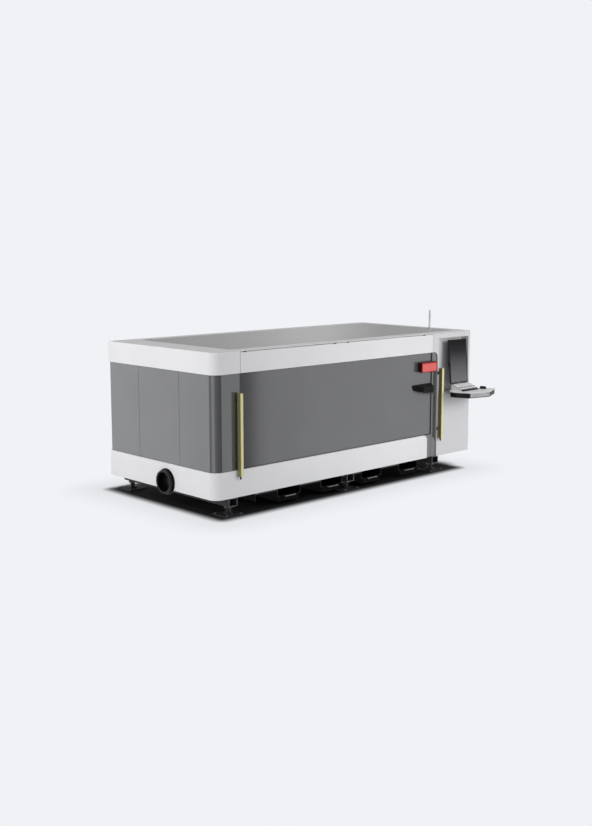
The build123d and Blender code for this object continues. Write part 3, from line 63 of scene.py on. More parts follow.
class Mat:
    """A principled material with small helpers for its nodes."""

    def __init__(self, name, color, rough=0.4, metal=0.0, spec=0.5):
        self.mat = bpy.data.materials.new(name)
        self.mat.use_nodes = True
        self.nt = self.mat.node_tree
        self.b = self.nt.nodes["Principled BSDF"]
        self.color = color
        self.b.inputs["Base Color"].default_value = color
        self.b.inputs["Roughness"].default_value = rough
        self.b.inputs["Metallic"].default_value = metal
        self.b.inputs["Specular IOR Level"].default_value = spec
        self.coord = self.node("ShaderNodeTexCoord")
        self.normal_out = None

    def node(self, kind):
        return self.nt.nodes.new(kind)

    def link(self, a, b):
        self.nt.links.new(a, b)

    def stretched(self, scale):
        """Object coordinates scaled along each axis."""
        m = self.node("ShaderNodeMapping")
        m.inputs["Scale"].default_value = scale
        self.link(self.coord.outputs["Object"], m.inputs["Vector"])
        return m.outputs["Vector"]

    def noise(self, scale, detail=2.0, rough=0.5, stretch=None):
        n = self.node("ShaderNodeTexNoise")
        n.inputs["Scale"].default_value = scale
        n.inputs["Detail"].default_value = detail
        n.inputs["Roughness"].default_value = rough
        vec = self.stretched(stretch) if stretch else self.coord.outputs["Object"]
        self.link(vec, n.inputs["Vector"])
        return n.outputs["Fac"]

    def ramp(self, fac, stops):
        r = self.node("ShaderNodeValToRGB")
        e = r.color_ramp.elements
        while len(e) < len(stops):
            e.new(0.5)
        for el, (pos, col) in zip(e, stops):
            el.position = pos
            el.color = col if len(col) == 4 else (*col, 1.0)
        self.link(fac, r.inputs["Fac"])
        return r.outputs["Color"]

    def along(self, direction, start, end, clamp=True, curve="LINEAR"):
        """0 to 1 between two places measured along a direction."""
        dot = self.node("ShaderNodeVectorMath")
        dot.operation = "DOT_PRODUCT"
        dot.inputs[1].default_value = direction
        self.link(self.coord.outputs["Object"], dot.inputs[0])
        m = self.node("ShaderNodeMapRange")
        m.clamp = clamp
        m.interpolation_type = curve
        m.inputs["From Min"].default_value = start
        m.inputs["From Max"].default_value = end
        self.link(dot.outputs["Value"], m.inputs["Value"])
        return m.outputs["Result"]

    def facing(self, direction, start, end):
        """0 to 1 as the surface turns towards a direction."""
        geo = self.node("ShaderNodeNewGeometry")
        dot = self.node("ShaderNodeVectorMath")
        dot.operation = "DOT_PRODUCT"
        dot.inputs[1].default_value = direction
        self.link(geo.outputs["True Normal"], dot.inputs[0])
        m = self.node("ShaderNodeMapRange")
        m.inputs["From Min"].default_value = start
        m.inputs["From Max"].default_value = end
        self.link(dot.outputs["Value"], m.inputs["Value"])
        return m.outputs["Result"]

    def math(self, operation, a, b):
        n = self.node("ShaderNodeMath")
        n.operation = operation
        for socket, value in zip(n.inputs, (a, b)):
            if isinstance(value, (int, float)):
                socket.default_value = value
            else:
                self.link(value, socket)
        return n.outputs["Value"]

    def mix(self, fac, a, b):
        """Colour between two colours or colour outputs."""
        n = self.node("ShaderNodeMix")
        n.data_type = "RGBA"
        self.link(fac, n.inputs[0])
        for socket, value in zip((n.inputs[6], n.inputs[7]), (a, b)):
            if isinstance(value, tuple):
                socket.default_value = value
            else:
                self.link(value, socket)
        return n.outputs[2]

    def paint(self, color_out):
        self.link(color_out, self.b.inputs["Base Color"])

    def tinted(self, fac, color, dark, light, lo=0.3, hi=0.7):
        """Two tints of a colour, chosen by a texture."""
        a = tuple(min(1.0, x * dark) for x in color[:3])
        b = tuple(min(1.0, x * light) for x in color[:3])
        return self.ramp(fac, [(lo, a), (hi, b)])

    def vary(self, fac, dark, light, lo=0.3, hi=0.7):
        self.paint(self.tinted(fac, self.color, dark, light, lo, hi))

    def rough(self, fac, r0, r1):
        m = self.node("ShaderNodeMapRange")
        m.inputs["To Min"].default_value = r0
        m.inputs["To Max"].default_value = r1
        self.link(fac, m.inputs["Value"])
        self.link(m.outputs["Result"], self.b.inputs["Roughness"])

    def bump(self, fac, strength, distance):
        n = self.node("ShaderNodeBump")
        n.inputs["Strength"].default_value = strength
        n.inputs["Distance"].default_value = distance
        self.link(fac, n.inputs["Height"])
        if self.normal_out is not None:
            self.link(self.normal_out, n.inputs["Normal"])
        self.normal_out = n.outputs["Normal"]
        self.link(self.normal_out, self.b.inputs["Normal"])

    def soften(self, radius):
        """Rounds the shading of sharp sheet edges."""
        n = self.node("ShaderNodeBevel")
        n.samples = 4
        n.inputs["Radius"].default_value = radius
        self.normal_out = n.outputs["Normal"]
        self.link(self.normal_out, self.b.inputs["Normal"])


# Painted shade: dark grey on edges that face left, where they show in the seams between panels.
SEAM_SHADE = lin(34, 34, 36)
DULL_FROM, DULL_TO = 400.0, 3900.0


def with_seam_shade(m, coat, seam_shaded):
    """The coat, with edges that face left painted dark grey as painted shade in the seams, where asked for.
    """
    if not seam_shaded:
        return coat
    return m.mix(m.facing((-1.0, 0.0, 0.0), 0.98, 0.995), coat, SEAM_SHADE)


def powder(name, color, rough=0.38, spec=0.5, edge=0.003, tone=0.02, seam_shaded=False):
    """Powder coat: slight change of tone and gloss over the sheet, faint orange peel."""
    m = Mat(name, color, rough, 0.0, spec)
    m.soften(edge)
    coat = m.tinted(m.noise(1.3, 2.0), color, 1.0 - tone, 1.0 + tone)
    m.paint(with_seam_shade(m, coat, seam_shaded))
    m.rough(m.noise(2.5, 3.0), rough - 0.04, rough + 0.05)
    m.bump(m.noise(150.0, 1.0), 0.02, 0.0003)
    return m.mat


def metallic_paint(name, color, rough=0.2, metal=0.75, dull=0.0, seam_shaded=False):
    """Grey metallic paint that mirrors the room softly, faintly cloudy, duller to the right where asked."""
    m = Mat(name, color, rough, metal, 0.5)
    m.soften(0.003)
    coat = m.tinted(m.noise(2.2, 3.0), color, 0.975, 1.025)
    m.paint(with_seam_shade(m, coat, seam_shaded))
    cloud = m.math("MULTIPLY", m.noise(1.6, 3.0), 0.05)
    start, end = at(DULL_FROM, 0, 0).x, at(DULL_TO, 0, 0).x
    wear = m.math("MULTIPLY", m.along((1, 0, 0), start, end, True, "SMOOTHSTEP"), dull)
    m.link(m.math("ADD", m.math("ADD", wear, cloud), rough - 0.02), m.b.inputs["Roughness"])
    return m.mat


def moulded(name, color, rough=0.45, grain=300.0, strength=0.15, edge=0.0025):
    """Moulded plastic with a fine spark texture."""
    m = Mat(name, color, rough, 0.0, 0.35)
    m.soften(edge)
    m.vary(m.noise(6.0, 3.0), 0.9, 1.12)
    m.rough(m.noise(30.0, 2.0), rough - 0.06, rough + 0.08)
    m.bump(m.noise(grain, 2.0), strength, 0.0004)
    return m.mat


def worked_metal(name, color, rough=0.3, stretch=(1.0, 1.0, 1.0), scale=60.0, edge=0.0015, tone=0.12):
    """Ground, milled or plated metal with a lay along one direction."""
    m = Mat(name, color, rough, 1.0, 0.5)
    m.soften(edge)
    lay = m.noise(scale, 4.0, 0.6, stretch)
    m.vary(lay, 1.0 - tone, 1.0 + tone)
    m.rough(lay, rough - 0.08, rough + 0.12)
    m.bump(lay, 0.12, 0.0005)
    return m.mat


def scorched(name):
    """Hot rolled plate, browned and scaled by the beam along its edges."""
    m = Mat(name, lin(110, 104, 100), 0.55, 0.7, 0.4)
    patch = m.noise(9.0, 5.0, 0.65)
    m.paint(m.ramp(patch, [
        (0.32, lin(66, 58, 52)), (0.5, lin(112, 105, 100)), (0.66, lin(138, 116, 92)),
    ]))
    m.rough(patch, 0.4, 0.75)
    m.bump(m.noise(160.0, 3.0), 0.3, 0.0008)
    return m.mat


def galvanised(name, color):
    """Zinc coated sheet with its spangle."""
    m = Mat(name, color, 0.42, 0.85, 0.5)
    cells = m.node("ShaderNodeTexVoronoi")
    cells.inputs["Scale"].default_value = 55.0
    m.link(m.coord.outputs["Object"], cells.inputs["Vector"])
    tint = m.node("ShaderNodeSeparateColor")
    m.link(cells.outputs["Color"], tint.inputs["Color"])
    m.vary(tint.outputs["Red"], 0.86, 1.12, 0.0, 1.0)
    m.rough(tint.outputs["Green"], 0.34, 0.52)
    return m.mat


def curtain_finish():
    """Light curtain extrusion: pale cream front, brushed along its length, with the sides painted a darker
    olive as painted shade.
    """
    m = Mat("pale_yellow_extrusion", lin(212, 207, 165), 0.4, 0.0, 0.4)
    m.soften(0.002)
    lay = m.noise(40.0, 3.0, 0.6, (8.0, 8.0, 0.4))
    cream = m.tinted(lay, lin(230, 222, 164), 0.97, 1.03)
    olive = m.tinted(lay, lin(126, 122, 84), 0.92, 1.08)
    # Painted shade: faces that do not face the front get the darker olive copy of the cream.
    m.paint(m.mix(m.facing((0.0, -1.0, 0.0), 0.5, 0.8), olive, cream))
    m.rough(lay, 0.34, 0.48)
    return m.mat


def infrared_window():
    """Filter strip of the curtains: olive glass over a darker channel."""
    m = Mat("infrared_filter_strip", lin(112, 108, 78), 0.15, 0.0, 0.5)
    m.vary(m.noise(30.0, 2.0, 0.5, (1.0, 1.0, 0.2)), 0.85, 1.1)
    m.rough(m.noise(12.0, 2.0), 0.1, 0.22)
    return m.mat


def red_lens():
    """Ribbed red diffuser: pale salmon in the middle, with a dark red rim painted along its edges as painted
    shade where it sits in the housing.
    """
    lo, hi = (Vector(c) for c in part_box("lamp_lens"))
    m = Mat("red_lamp_diffuser", lin(222, 110, 108), 0.35, 0.0, 0.4)
    rim = 0.020
    # Painted shade: along each edge the dark red of the rim gives way to salmon between two shares of the
    # rim
    left = m.along((1, 0, 0), lo.x + rim * 0.2, lo.x + rim * 0.6)
    right = m.along((1, 0, 0), hi.x - rim * 0.9, hi.x - rim * 1.6)
    low = m.along((0, 0, 1), lo.z + rim * 0.2, lo.z + rim * 0.6)
    high = m.along((0, 0, 1), hi.z - rim * 0.5, hi.z - rim * 1.1)
    inside = m.math("MULTIPLY", m.math("MULTIPLY", left, right), m.math("MULTIPLY", low, high))
    salmon = m.tinted(m.noise(9.0, 2.0), lin(218, 104, 102), 0.95, 1.05)
    shaded_rim_red = m.tinted(m.noise(9.0, 2.0), lin(150, 16, 18), 0.9, 1.1)
    m.paint(m.mix(inside, shaded_rim_red, salmon))
    ribs = m.node("ShaderNodeTexWave")
    ribs.inputs["Scale"].default_value = 45.0
    m.link(m.coord.outputs["Object"], ribs.inputs["Vector"])
    m.bump(ribs.outputs["Fac"], 0.1, 0.001)
    m.b.inputs["Emission Color"].default_value = lin(200, 40, 40)
    m.b.inputs["Emission Strength"].default_value = 0.06
    return m.mat


def dark_screen():
    """Monitor glass: near black at the top, painted lighter towards the bottom as a painted reflection of
    the tray.
    """
    lo, hi = (Vector(c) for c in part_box("monitor_screen"))
    m = Mat("monitor_glass", lin(60, 61, 64), 0.3, 0.0, 0.12)
    m.paint(m.ramp(m.along((0, 0, 1), lo.z, hi.z), [
        (0.0, lin(114, 114, 116)), (0.35, lin(92, 92, 94)), (0.75, lin(38, 38, 40)), (1.0, lin(12, 12, 14)),
    ]))
    m.rough(m.noise(18.0, 3.0), 0.26, 0.36)
    return m.mat


def key_moulding():
    """Keyboard: pale keys over a dark bed that shows in the gaps, every other key of the second row dark."""
    lo, hi = (Vector(c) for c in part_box("keyboard"))
    rise, run = 0.064, 0.165
    front_height, margin = 0.010, 0.012
    columns, rows = 14, 5
    size = math.hypot(rise, run)
    normal = Vector((0.0, -rise / size, run / size))
    slope = Vector((0.0, run / size, rise / size))
    front = Vector((0.0, lo.y, lo.z + front_height))
    bed = normal.dot(front)
    pitch = (hi.x - lo.x - 2 * margin) / columns
    depth = (size - 2 * margin) / rows
    first_key = lo.x + margin + pitch / 2
    row_start = slope.dot(front) + margin + depth
    row_end = row_start + depth
    m = Mat("pale_key_moulding", lin(222, 222, 224), 0.45, 0.0, 0.4)
    m.soften(0.0015)
    keys = m.along(tuple(normal), bed + 0.001, bed + 0.003)
    flank = m.facing(tuple(normal), 0.95, 0.85)
    top = m.math("MAXIMUM", keys, flank)
    pale = m.tinted(m.noise(40.0, 2.0), lin(248, 248, 249), 0.95, 1.02)
    odd = m.math("PINGPONG", m.along((1, 0, 0), first_key, first_key + pitch, False), 1.0)
    in_row = m.math(
        "MULTIPLY", m.along(slope, row_start, row_start + 0.001), m.along(slope, row_end, row_end - 0.001))
    marked = m.math("MULTIPLY", m.math("GREATER_THAN", odd, 0.5), m.math("MULTIPLY", keys, in_row))
    m.paint(m.mix(marked, m.mix(top, lin(66, 66, 69), pale), lin(58, 58, 61)))
    m.bump(m.noise(300.0, 2.0), 0.08, 0.0003)
    return m.mat


def drawer_finish(name):
    """Slag drawer: near-black tub, dark paint that also stands in as painted shade under the body, with a
    bright plated pull bar in front.
    """
    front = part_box(name)[0][1]
    bar_depth, blend = 0.0330, 0.0005
    m = Mat(name + "_paint", lin(14, 14, 15), 0.6, 0.0, 0.05)
    m.soften(0.002)
    bar = m.along((0, 1, 0), front + bar_depth, front + bar_depth + blend)
    tub = m.tinted(m.noise(7.0, 4.0, 0.6), lin(13, 13, 14), 0.75, 1.3)
    m.paint(m.mix(bar, lin(180, 181, 184), tub))
    m.link(m.math("SUBTRACT", 1.0, bar), m.b.inputs["Metallic"])
    m.rough(m.noise(20.0, 3.0), 0.42, 0.7)
    return m.mat


def sawn_steel(name, primer, cut, spec):
    """Underframe steel: dark primer that also stands in as painted shade under the body, with the faces
    towards front and rear painted paler as a painted highlight on the saw cuts.
    """
    m = Mat(name, primer, 0.5, 0.0, spec)
    m.soften(0.002)
    coat = m.tinted(m.noise(6.0, 4.0, 0.6), primer, 0.85, 1.15)
    lit_cut_end = m.tinted(m.noise(60.0, 3.0, 0.5, (1.0, 1.0, 6.0)), cut, 0.9, 1.08)
    # Painted highlight: faces towards front and rear get the paler colour, painted shade on the rest.
    front = m.facing((0.0, -1.0, 0.0), 0.7, 0.9)
    rear = m.facing((0.0, 1.0, 0.0), 0.7, 0.9)
    ends = m.math("MAXIMUM", front, rear)
    m.paint(m.mix(ends, coat, lit_cut_end))
    m.rough(m.noise(20.0, 3.0), 0.42, 0.58)
    return m.mat


def threaded(name, color):
    """Plated screw with the turns of its thread in the bump."""
    m = Mat(name, color, 0.35, 1.0, 0.5)
    m.vary(m.noise(25.0, 3.0), 0.86, 1.1)
    turns = m.node("ShaderNodeTexWave")
    turns.bands_direction = "Z"
    turns.inputs["Scale"].default_value = 52.0
    m.link(m.coord.outputs["Object"], turns.inputs["Vector"])
    m.bump(turns.outputs["Fac"], 0.6, 0.003)
    m.rough(m.noise(14.0, 3.0), 0.3, 0.5)
    return m.mat


WHITE = powder("white_powder_coat", lin(232, 232, 233), rough=0.42, spec=0.35)
WHITE_HEADER = powder(
    "header_white_powder_coat", lin(232, 232, 233), rough=0.42, spec=0.35, seam_shaded=True)
WHITE_CONSOLE = powder("console_white_powder_coat", lin(213, 213, 215), rough=0.38, spec=0.35)
WHITE_TRAY = powder("tray_white_laminate", lin(250, 250, 251), rough=0.35, spec=0.4)
GREY = metallic_paint("grey_metallic_paint", (0.275, 0.278, 0.283, 1.0), rough=0.11)
GREY_DOOR = metallic_paint(
    "door_grey_metallic_paint", (0.262, 0.265, 0.270, 1.0), rough=0.12, dull=0.11, seam_shaded=True)
GREY_ROOF = metallic_paint("roof_grey_paint", (0.300, 0.302, 0.306, 1.0), rough=0.13, metal=0.35)
FRAME_GREY = powder("frame_light_grey_paint", lin(168, 170, 173), rough=0.5)
# Painted shade: the dark colours of the underframe tubes, runners and foot plates stand partly for their
# paint and partly for the shade under the body.
TUBE_STEEL = sawn_steel("underframe_tube_primer_and_shade", lin(52, 53, 55), lin(132, 133, 136), spec=0.35)
RUNNER_STEEL = sawn_steel("runner_primer_and_shade", lin(20, 20, 21), lin(84, 85, 87), spec=0.05)
PLATE_GREY = powder("foot_plate_paint_and_shade", lin(46, 47, 49), rough=0.6, spec=0.25, tone=0.1)
BED_GREY = powder("bed_dark_grey_enamel", lin(92, 97, 103), rough=0.45)
BLACK_PAINT = powder("satin_black_paint", lin(24, 24, 26), rough=0.42, spec=0.35, tone=0.08)
DUCT_BLACK = powder("duct_black_paint", lin(14, 14, 15), rough=0.4, spec=0.4, tone=0.1)
BLACK_PLASTIC = moulded("matte_black_plastic", lin(18, 18, 20))
BLACK_RUBBER = moulded("black_foam_rest", lin(16, 16, 17), rough=0.7, grain=250.0, strength=0.3)
GREY_RUBBER = moulded("grey_edge_rubber", lin(168, 168, 170), rough=0.6)
ZINC = worked_metal("zinc_plated_steel", lin(150, 151, 153), rough=0.38, scale=35.0)
SCREW = threaded("zinc_plated_thread", lin(112, 113, 116))
NUT = worked_metal("dulled_zinc_nut", lin(98, 99, 101), rough=0.5, scale=35.0)
GROUND = worked_metal("ground_steel", lin(196, 197, 200), rough=0.2, stretch=(1.0, 14.0, 14.0))
CROSS_GROUND = worked_metal(
    "cross_rail_ground_steel", lin(196, 197, 200), rough=0.2, stretch=(14.0, 1.0, 14.0))
ALUMINIUM = worked_metal(
    "milled_aluminium", lin(198, 200, 204), rough=0.34, stretch=(1.0, 8.0, 1.0), scale=40.0, tone=0.06)
COPPER = worked_metal("turned_copper", lin(196, 132, 92), rough=0.22, stretch=(1.0, 1.0, 40.0), scale=30.0)
SLAT = scorched("scorched_slat_steel")
GALV = galvanised("galvanised_sheet", lin(168, 170, 173))
LAMP_BODY = moulded("dark_red_housing", lin(54, 10, 12), rough=0.35, strength=0.08)
LAMP_COLUMN = moulded("frosted_lamp_column", lin(214, 215, 218), rough=0.4, strength=0.05)

looks = {
    "foot_plates": PLATE_GREY, "jack_screws": SCREW, "jack_nuts": NUT,
    "cross_tubes": TUBE_STEEL, "bed_beams": BED_GREY, "bed_rails": GROUND,
    "enclosure_frame": FRAME_GREY, "lower_skirt": WHITE,
    "corner_panel": GREY, "end_panel_middle": GREY, "end_panel_rear": GREY,
    "rear_panels": GREY, "right_end_panels": GREY, "right_pillar": GREY, "skirt_end_panel": GREY,
    "top_frame": WHITE, "roof_panel": GREY_ROOF, "bulkhead": FRAME_GREY,
    "console_cabinet": WHITE_CONSOLE,
    "monitor_housing": BLACK_PLASTIC, "monitor_screen": dark_screen(), "monitor_arm": BLACK_PAINT,
    "keyboard_tray": WHITE_TRAY, "tray_pan": BLACK_PAINT, "tray_bumper": GREY_RUBBER,
    "keyboard": key_moulding(), "wrist_rest": BLACK_RUBBER, "mouse": BLACK_PLASTIC,
    "light_curtains": curtain_finish(), "curtain_lenses": infrared_window(),
    "curtain_brackets": BLACK_PAINT, "curtain_plugs": BLACK_PLASTIC,
    "exhaust_collar": DUCT_BLACK, "signal_lamp": LAMP_COLUMN,
    "table_frame": BED_GREY, "slats": SLAT, "slag_chutes": GALV, "drawer_runners": RUNNER_STEEL,
    "slag_drawer_1": drawer_finish("slag_drawer_1"), "slag_drawer_2": drawer_finish("slag_drawer_2"),
    "slag_drawer_3": drawer_finish("slag_drawer_3"), "slag_drawer_4": drawer_finish("slag_drawer_4"),
    "laser_source": FRAME_GREY,
    "hinge_leaves": BLACK_PAINT, "hinge_pins": GROUND, "door_hinge_leaves": BLACK_PAINT,
    "door_panel": GREY_DOOR, "door_header": WHITE_HEADER, "door_liner": GALV,
    "lamp_box": LAMP_BODY, "lamp_lens": red_lens(), "door_grip": BLACK_PLASTIC,
    "gantry_beam": ALUMINIUM, "end_carriages": BED_GREY, "drive_units": BLACK_PAINT,
    "cross_rails": CROSS_GROUND, "head_carriage": ALUMINIUM, "lift_tower": ALUMINIUM,
    "cutting_head": ALUMINIUM, "nozzle": COPPER,
}
for name, obj in nodes.items():
    obj.data.materials.clear()
    obj.data.materials.append(looks[name])


# Extra pieces, placed in millimetres as in at()

LEFT_FACE, RIGHT_FACE, REAR_FACE, ROOF_TOP = 15.0, 4745.0, 2135.0, 1963.0
SEAM_LOW, SEAM_HIGH = 546.0, 1697.0
FOOT_U, FOOT_V = (269.0, 2282.0, 4015.0), (90.0, 2060.0)


def piece(name, bm, material, body=ROOT):
    """Makes a mesh in the shared frame a piece that rides on a body."""
    bmesh.ops.recalc_face_normals(bm, faces=bm.faces)
    mesh = bpy.data.meshes.new(name)
    bm.to_mesh(mesh)
    bm.free()
    obj = bpy.data.objects.new(name, mesh)
    mesh.materials.append(material)
    scene.collection.objects.link(obj)
    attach(obj, body)


def add_lathe(bm, centre, axis, profile, segments):
    """Turns a profile of (radius, distance along the axis) into a closed surface of revolution."""
    turn = Vector((0, 0, 1)).rotation_difference(Vector(axis)).to_matrix()
    rings = []
    for radius, along in profile:
        ring = []
        for k in range(segments):
            a = 2 * math.pi * k / segments
            p = Vector((radius * math.cos(a), radius * math.sin(a), along))
            ring.append(bm.verts.new(Vector(centre) + turn @ p))
        rings.append(ring)
    for low, high in zip(rings, rings[1:]):
        for k in range(segments):
            bm.faces.new((low[k], low[(k + 1) % segments], high[(k + 1) % segments], high[k]))
    bm.faces.new(rings[0])
    bm.faces.new(rings[-1])


def add_block(bm, lo, hi, bevel):
    """A box between two corners, with chamfered edges where a bevel is given."""
    made = bmesh.ops.create_cube(bm, size=1.0)
    size = Vector(hi) - Vector(lo)
    centre = (Vector(hi) + Vector(lo)) / 2
    place = Matrix.Translation(centre) @ Matrix.Diagonal((*size, 1.0))
    bmesh.ops.transform(bm, verts=made["verts"], matrix=place)
    if bevel:
        edges = list({e for v in made["verts"] for e in v.link_edges})
        bmesh.ops.bevel(bm, geom=edges, offset=bevel, segments=1, affect="EDGES")


def anchor_bolts():
    """Hex bolts with washers that hold the foot plates down."""
    bm = bmesh.new()
    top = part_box("foot_plates")[1][2]
    offset, washer = 108.0, 0.003
    washer_profile = [(0.018, 0.0), (0.018, washer), (0.011, washer)]
    head_profile = [(0.0125, 0.0), (0.0125, 0.0075), (0.0105, 0.009)]
    for u in FOOT_U:
        for v in FOOT_V:
            for du in (-offset, offset):
                for dv in (-offset, offset):
                    base = at(u + du, v + dv, 0)
                    base.z = top
                    add_lathe(bm, base, (0, 0, 1), washer_profile, 16)
                    base.z = top + washer
                    add_lathe(bm, base, (0, 0, 1), head_profile, 6)
    piece("foot_anchor_bolts", bm, ZINC)


def duct_damper():
    """Damper disc inside the exhaust collar, domed at its hub, with stiffening ribs."""
    bm = bmesh.new()
    lo, hi = (Vector(c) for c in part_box("exhaust_collar"))
    centre = (lo + hi) / 2
    inset, ribs = 0.085, 6
    centre.x = lo.x + inset
    disc_profile = [(0.120, -0.002), (0.121, 0.0), (0.118, 0.004), (0.05, 0.010), (0.03, 0.012)]
    add_lathe(bm, centre, (-1, 0, 0), disc_profile, 48)
    for k in range(ribs):
        turn = Matrix.Rotation(2 * math.pi * k / ribs, 4, "X")
        rib = bmesh.new()
        add_block(rib, (-0.018, 0.028, -0.003), (-0.006, 0.112, 0.003), 0.001)
        bmesh.ops.transform(rib, verts=rib.verts, matrix=Matrix.Translation(centre) @ turn)
        part = bpy.data.meshes.new("rib")
        rib.to_mesh(part)
        rib.free()
        bm.from_mesh(part)
        bpy.data.meshes.remove(part)
    piece("exhaust_damper", bm, DUCT_BLACK)


def seam_seals():
    """Rubber strips behind the panel seams, each with a bead that stands in the joint."""
    bm = bmesh.new()
    strip, bead, chamfer = 20.0, 1.2, 0.0012
    for u in (400.0, 1248.0, 2096.0, 2944.0, 3792.0, 4640.0):
        back, front, tip = REAR_FACE - 9.6, REAR_FACE - 3.4, REAR_FACE - 1.4
        add_block(bm, at(u - strip, back, SEAM_LOW), at(u + strip, front, SEAM_HIGH), chamfer)
        add_block(bm, at(u - bead, front, SEAM_LOW), at(u + bead, tip, SEAM_HIGH), 0.0)
    for v in (689.9, 1514.0):
        back, front, tip = LEFT_FACE + 9.4, LEFT_FACE + 3.4, LEFT_FACE + 1.4
        add_block(bm, at(front, v - strip, SEAM_LOW), at(back, v + strip, SEAM_HIGH), chamfer)
        add_block(bm, at(tip, v - bead, SEAM_LOW), at(front, v + bead, SEAM_HIGH), 0.0)
    back, front, tip = RIGHT_FACE - 9.4, RIGHT_FACE - 3.4, RIGHT_FACE - 1.4
    v, bead_v = 1400.0, 1399.7
    add_block(bm, at(back, v - strip, SEAM_LOW), at(front, v + strip, SEAM_HIGH), chamfer)
    add_block(bm, at(front, bead_v - bead, SEAM_LOW), at(tip, bead_v + bead, SEAM_HIGH), 0.0)
    piece("panel_seam_seals", bm, BLACK_RUBBER)


def add_latch(bm, centre, axis):
    """A quarter-turn latch: dished collar with the two-way bit in its well."""
    add_lathe(bm, centre, axis, [
        (0.018, 0.0), (0.018, 0.002), (0.015, 0.0045), (0.0095, 0.0045), (0.0090, 0.0012),
    ], 24)
    bit_width, bit_height, bit_reach = 0.0065, 0.0035, 0.004
    side = Vector((abs(axis[1]), abs(axis[0]), 0.0))
    half = side * bit_width + Vector((0.0, 0.0, bit_height))
    lo = Vector(centre) - half
    hi = Vector(centre) + half + Vector(axis) * bit_reach
    add_block(bm, lo, hi, 0.0008)


def panel_latches():
    """Latches near the corners of the rear and right end panels."""
    bm = bmesh.new()
    heights = (632.0, 1611.0)
    near, far = 46.0, 798.0
    for panel in (402.0, 1250.0, 2098.0, 2946.0, 3794.0):
        for u in (panel + near, panel + far):
            for z in heights:
                add_latch(bm, at(u, REAR_FACE, z), (0, 1, 0))
    for v in (650.0, 1350.0, 1450.0, 2085.0):
        for z in heights:
            add_latch(bm, at(RIGHT_FACE, v, z), (1, 0, 0))
    piece("panel_latches", bm, ZINC)


def rear_louvres():
    """Pressed louvre fields in the outer rear panels: blades that open downwards, each over a thin black
    strip that is painted shade in its opening.
    """
    blades, slot_shade = bmesh.new(), bmesh.new()
    rows, pitch, lowest, half_width = 12, 30.0, 690.0, 250.0
    blade_height, lip, taper, stand = 19.0, 1.5, 12.0, 9.0
    slot_inset, slot_height, slot_depth = 8.0, 5.0, 0.5
    sheet, edge = REAR_FACE, REAR_FACE + stand
    for middle in (824.0, 4216.0):
        left, right = middle - half_width, middle + half_width
        for row in range(rows):
            z = lowest + pitch * row
            corners = [
                (left, sheet, z + blade_height), (right, sheet, z + blade_height),
                (right, sheet, z), (left, sheet, z),
                (left + taper, edge, z + lip), (right - taper, edge, z + lip),
                (left + taper, edge, z), (right - taper, edge, z),
            ]
            v = [blades.verts.new(at(*c)) for c in corners]
            for face in ((0, 1, 5, 4), (4, 5, 7, 6), (6, 7, 2, 3), (0, 4, 6, 3), (1, 2, 7, 5), (0, 3, 2, 1)):
                blades.faces.new([v[k] for k in face])
            # Painted shade: a thin black strip on the sheet under each blade stands for the dark opening.
            slot_lo = at(left + slot_inset, sheet, z - slot_height)
            add_block(slot_shade, slot_lo, at(right - slot_inset, sheet + slot_depth, z), 0.0)
    piece("rear_louvre_blades", blades, GREY)
    piece("rear_louvre_slot_shade", slot_shade, BLACK_PLASTIC)


def roof_screws():
    """Flat screws along the rim of the roof panel."""
    bm = bmesh.new()
    front, rear, left, right = 208.0, 1977.0, 423.0, 4612.0
    long_start, long_pitch, long_count = 560.0, 391.4, 11
    short_start, short_pitch, short_count = 400.0, 462.0, 4
    spots = [(long_start + long_pitch * k, v) for k in range(long_count) for v in (front, rear)]
    spots += [(u, short_start + short_pitch * k) for k in range(short_count) for u in (left, right)]
    head = [(0.009, 0.0), (0.009, 0.0007), (0.0068, 0.0016), (0.0035, 0.0016), (0.0032, 0.0006)]
    for u, v in spots:
        add_lathe(bm, at(u, v, ROOF_TOP), (0, 0, 1), head, 16)
    piece("roof_panel_screws", bm, ZINC)


def door_stiffeners():
    """Pressed stiffeners across the inside of the door, with flanges along both sides."""
    bm = bmesh.new()
    liner, flange, ridge = 83.0, 84.2, 91.0
    flange_half, ridge_half, low, high, setback = 46.0, 26.0, 620.0, 1880.0, 20.0
    for u in (640.0, 1110.0, 1580.0, 2050.0, 2520.0, 2990.0, 3460.0, 3800.0):
        add_block(bm, at(u - flange_half, liner, low), at(u + flange_half, flange, high), 0.0)
        ridge_lo = at(u - ridge_half, flange, low + setback)
        add_block(bm, ridge_lo, at(u + ridge_half, ridge, high - setback), 0.004)
    piece("door_stiffeners", bm, GALV, body="door")


anchor_bolts()
duct_damper()
seam_seals()
panel_latches()
rear_louvres()
roof_screws()
door_stiffeners()


# Camera at the photograph's viewpoint

CAMERA_FROM_SKIRT = Vector((-7.991, -9.836, 3.031))
CAMERA_DOWN, CAMERA_RIGHT = 8.378, 43.824

cam_data = bpy.data.cameras.new("camera")
cam = bpy.data.objects.new("camera", cam_data)
scene.collection.objects.link(cam)
scene.camera = cam
cam_data.sensor_fit = "AUTO"
cam_data.sensor_width = 36.0
cam_data.lens = 48.12
cam_data.shift_x = -0.0106
cam_data.shift_y = -0.0120
cam_data.clip_end = 400.0
cam.location = SKIRT_LO + CAMERA_FROM_SKIRT
cam.rotation_euler = (math.radians(90.0 - CAMERA_DOWN), 0.0, -math.radians(CAMERA_RIGHT))


# Floor and backdrop

BACKDROP = lin(240, 242, 246)
FLOOR_PAINT = lin(240, 241, 244)
# Painted shade: the faint darker tone of the floor near the footprint.
FLOOR_PENUMBRA_SHADE = lin(222, 223, 226)
SHADOW = lin(4, 4, 5)
FLOOR_HALF = 150.0


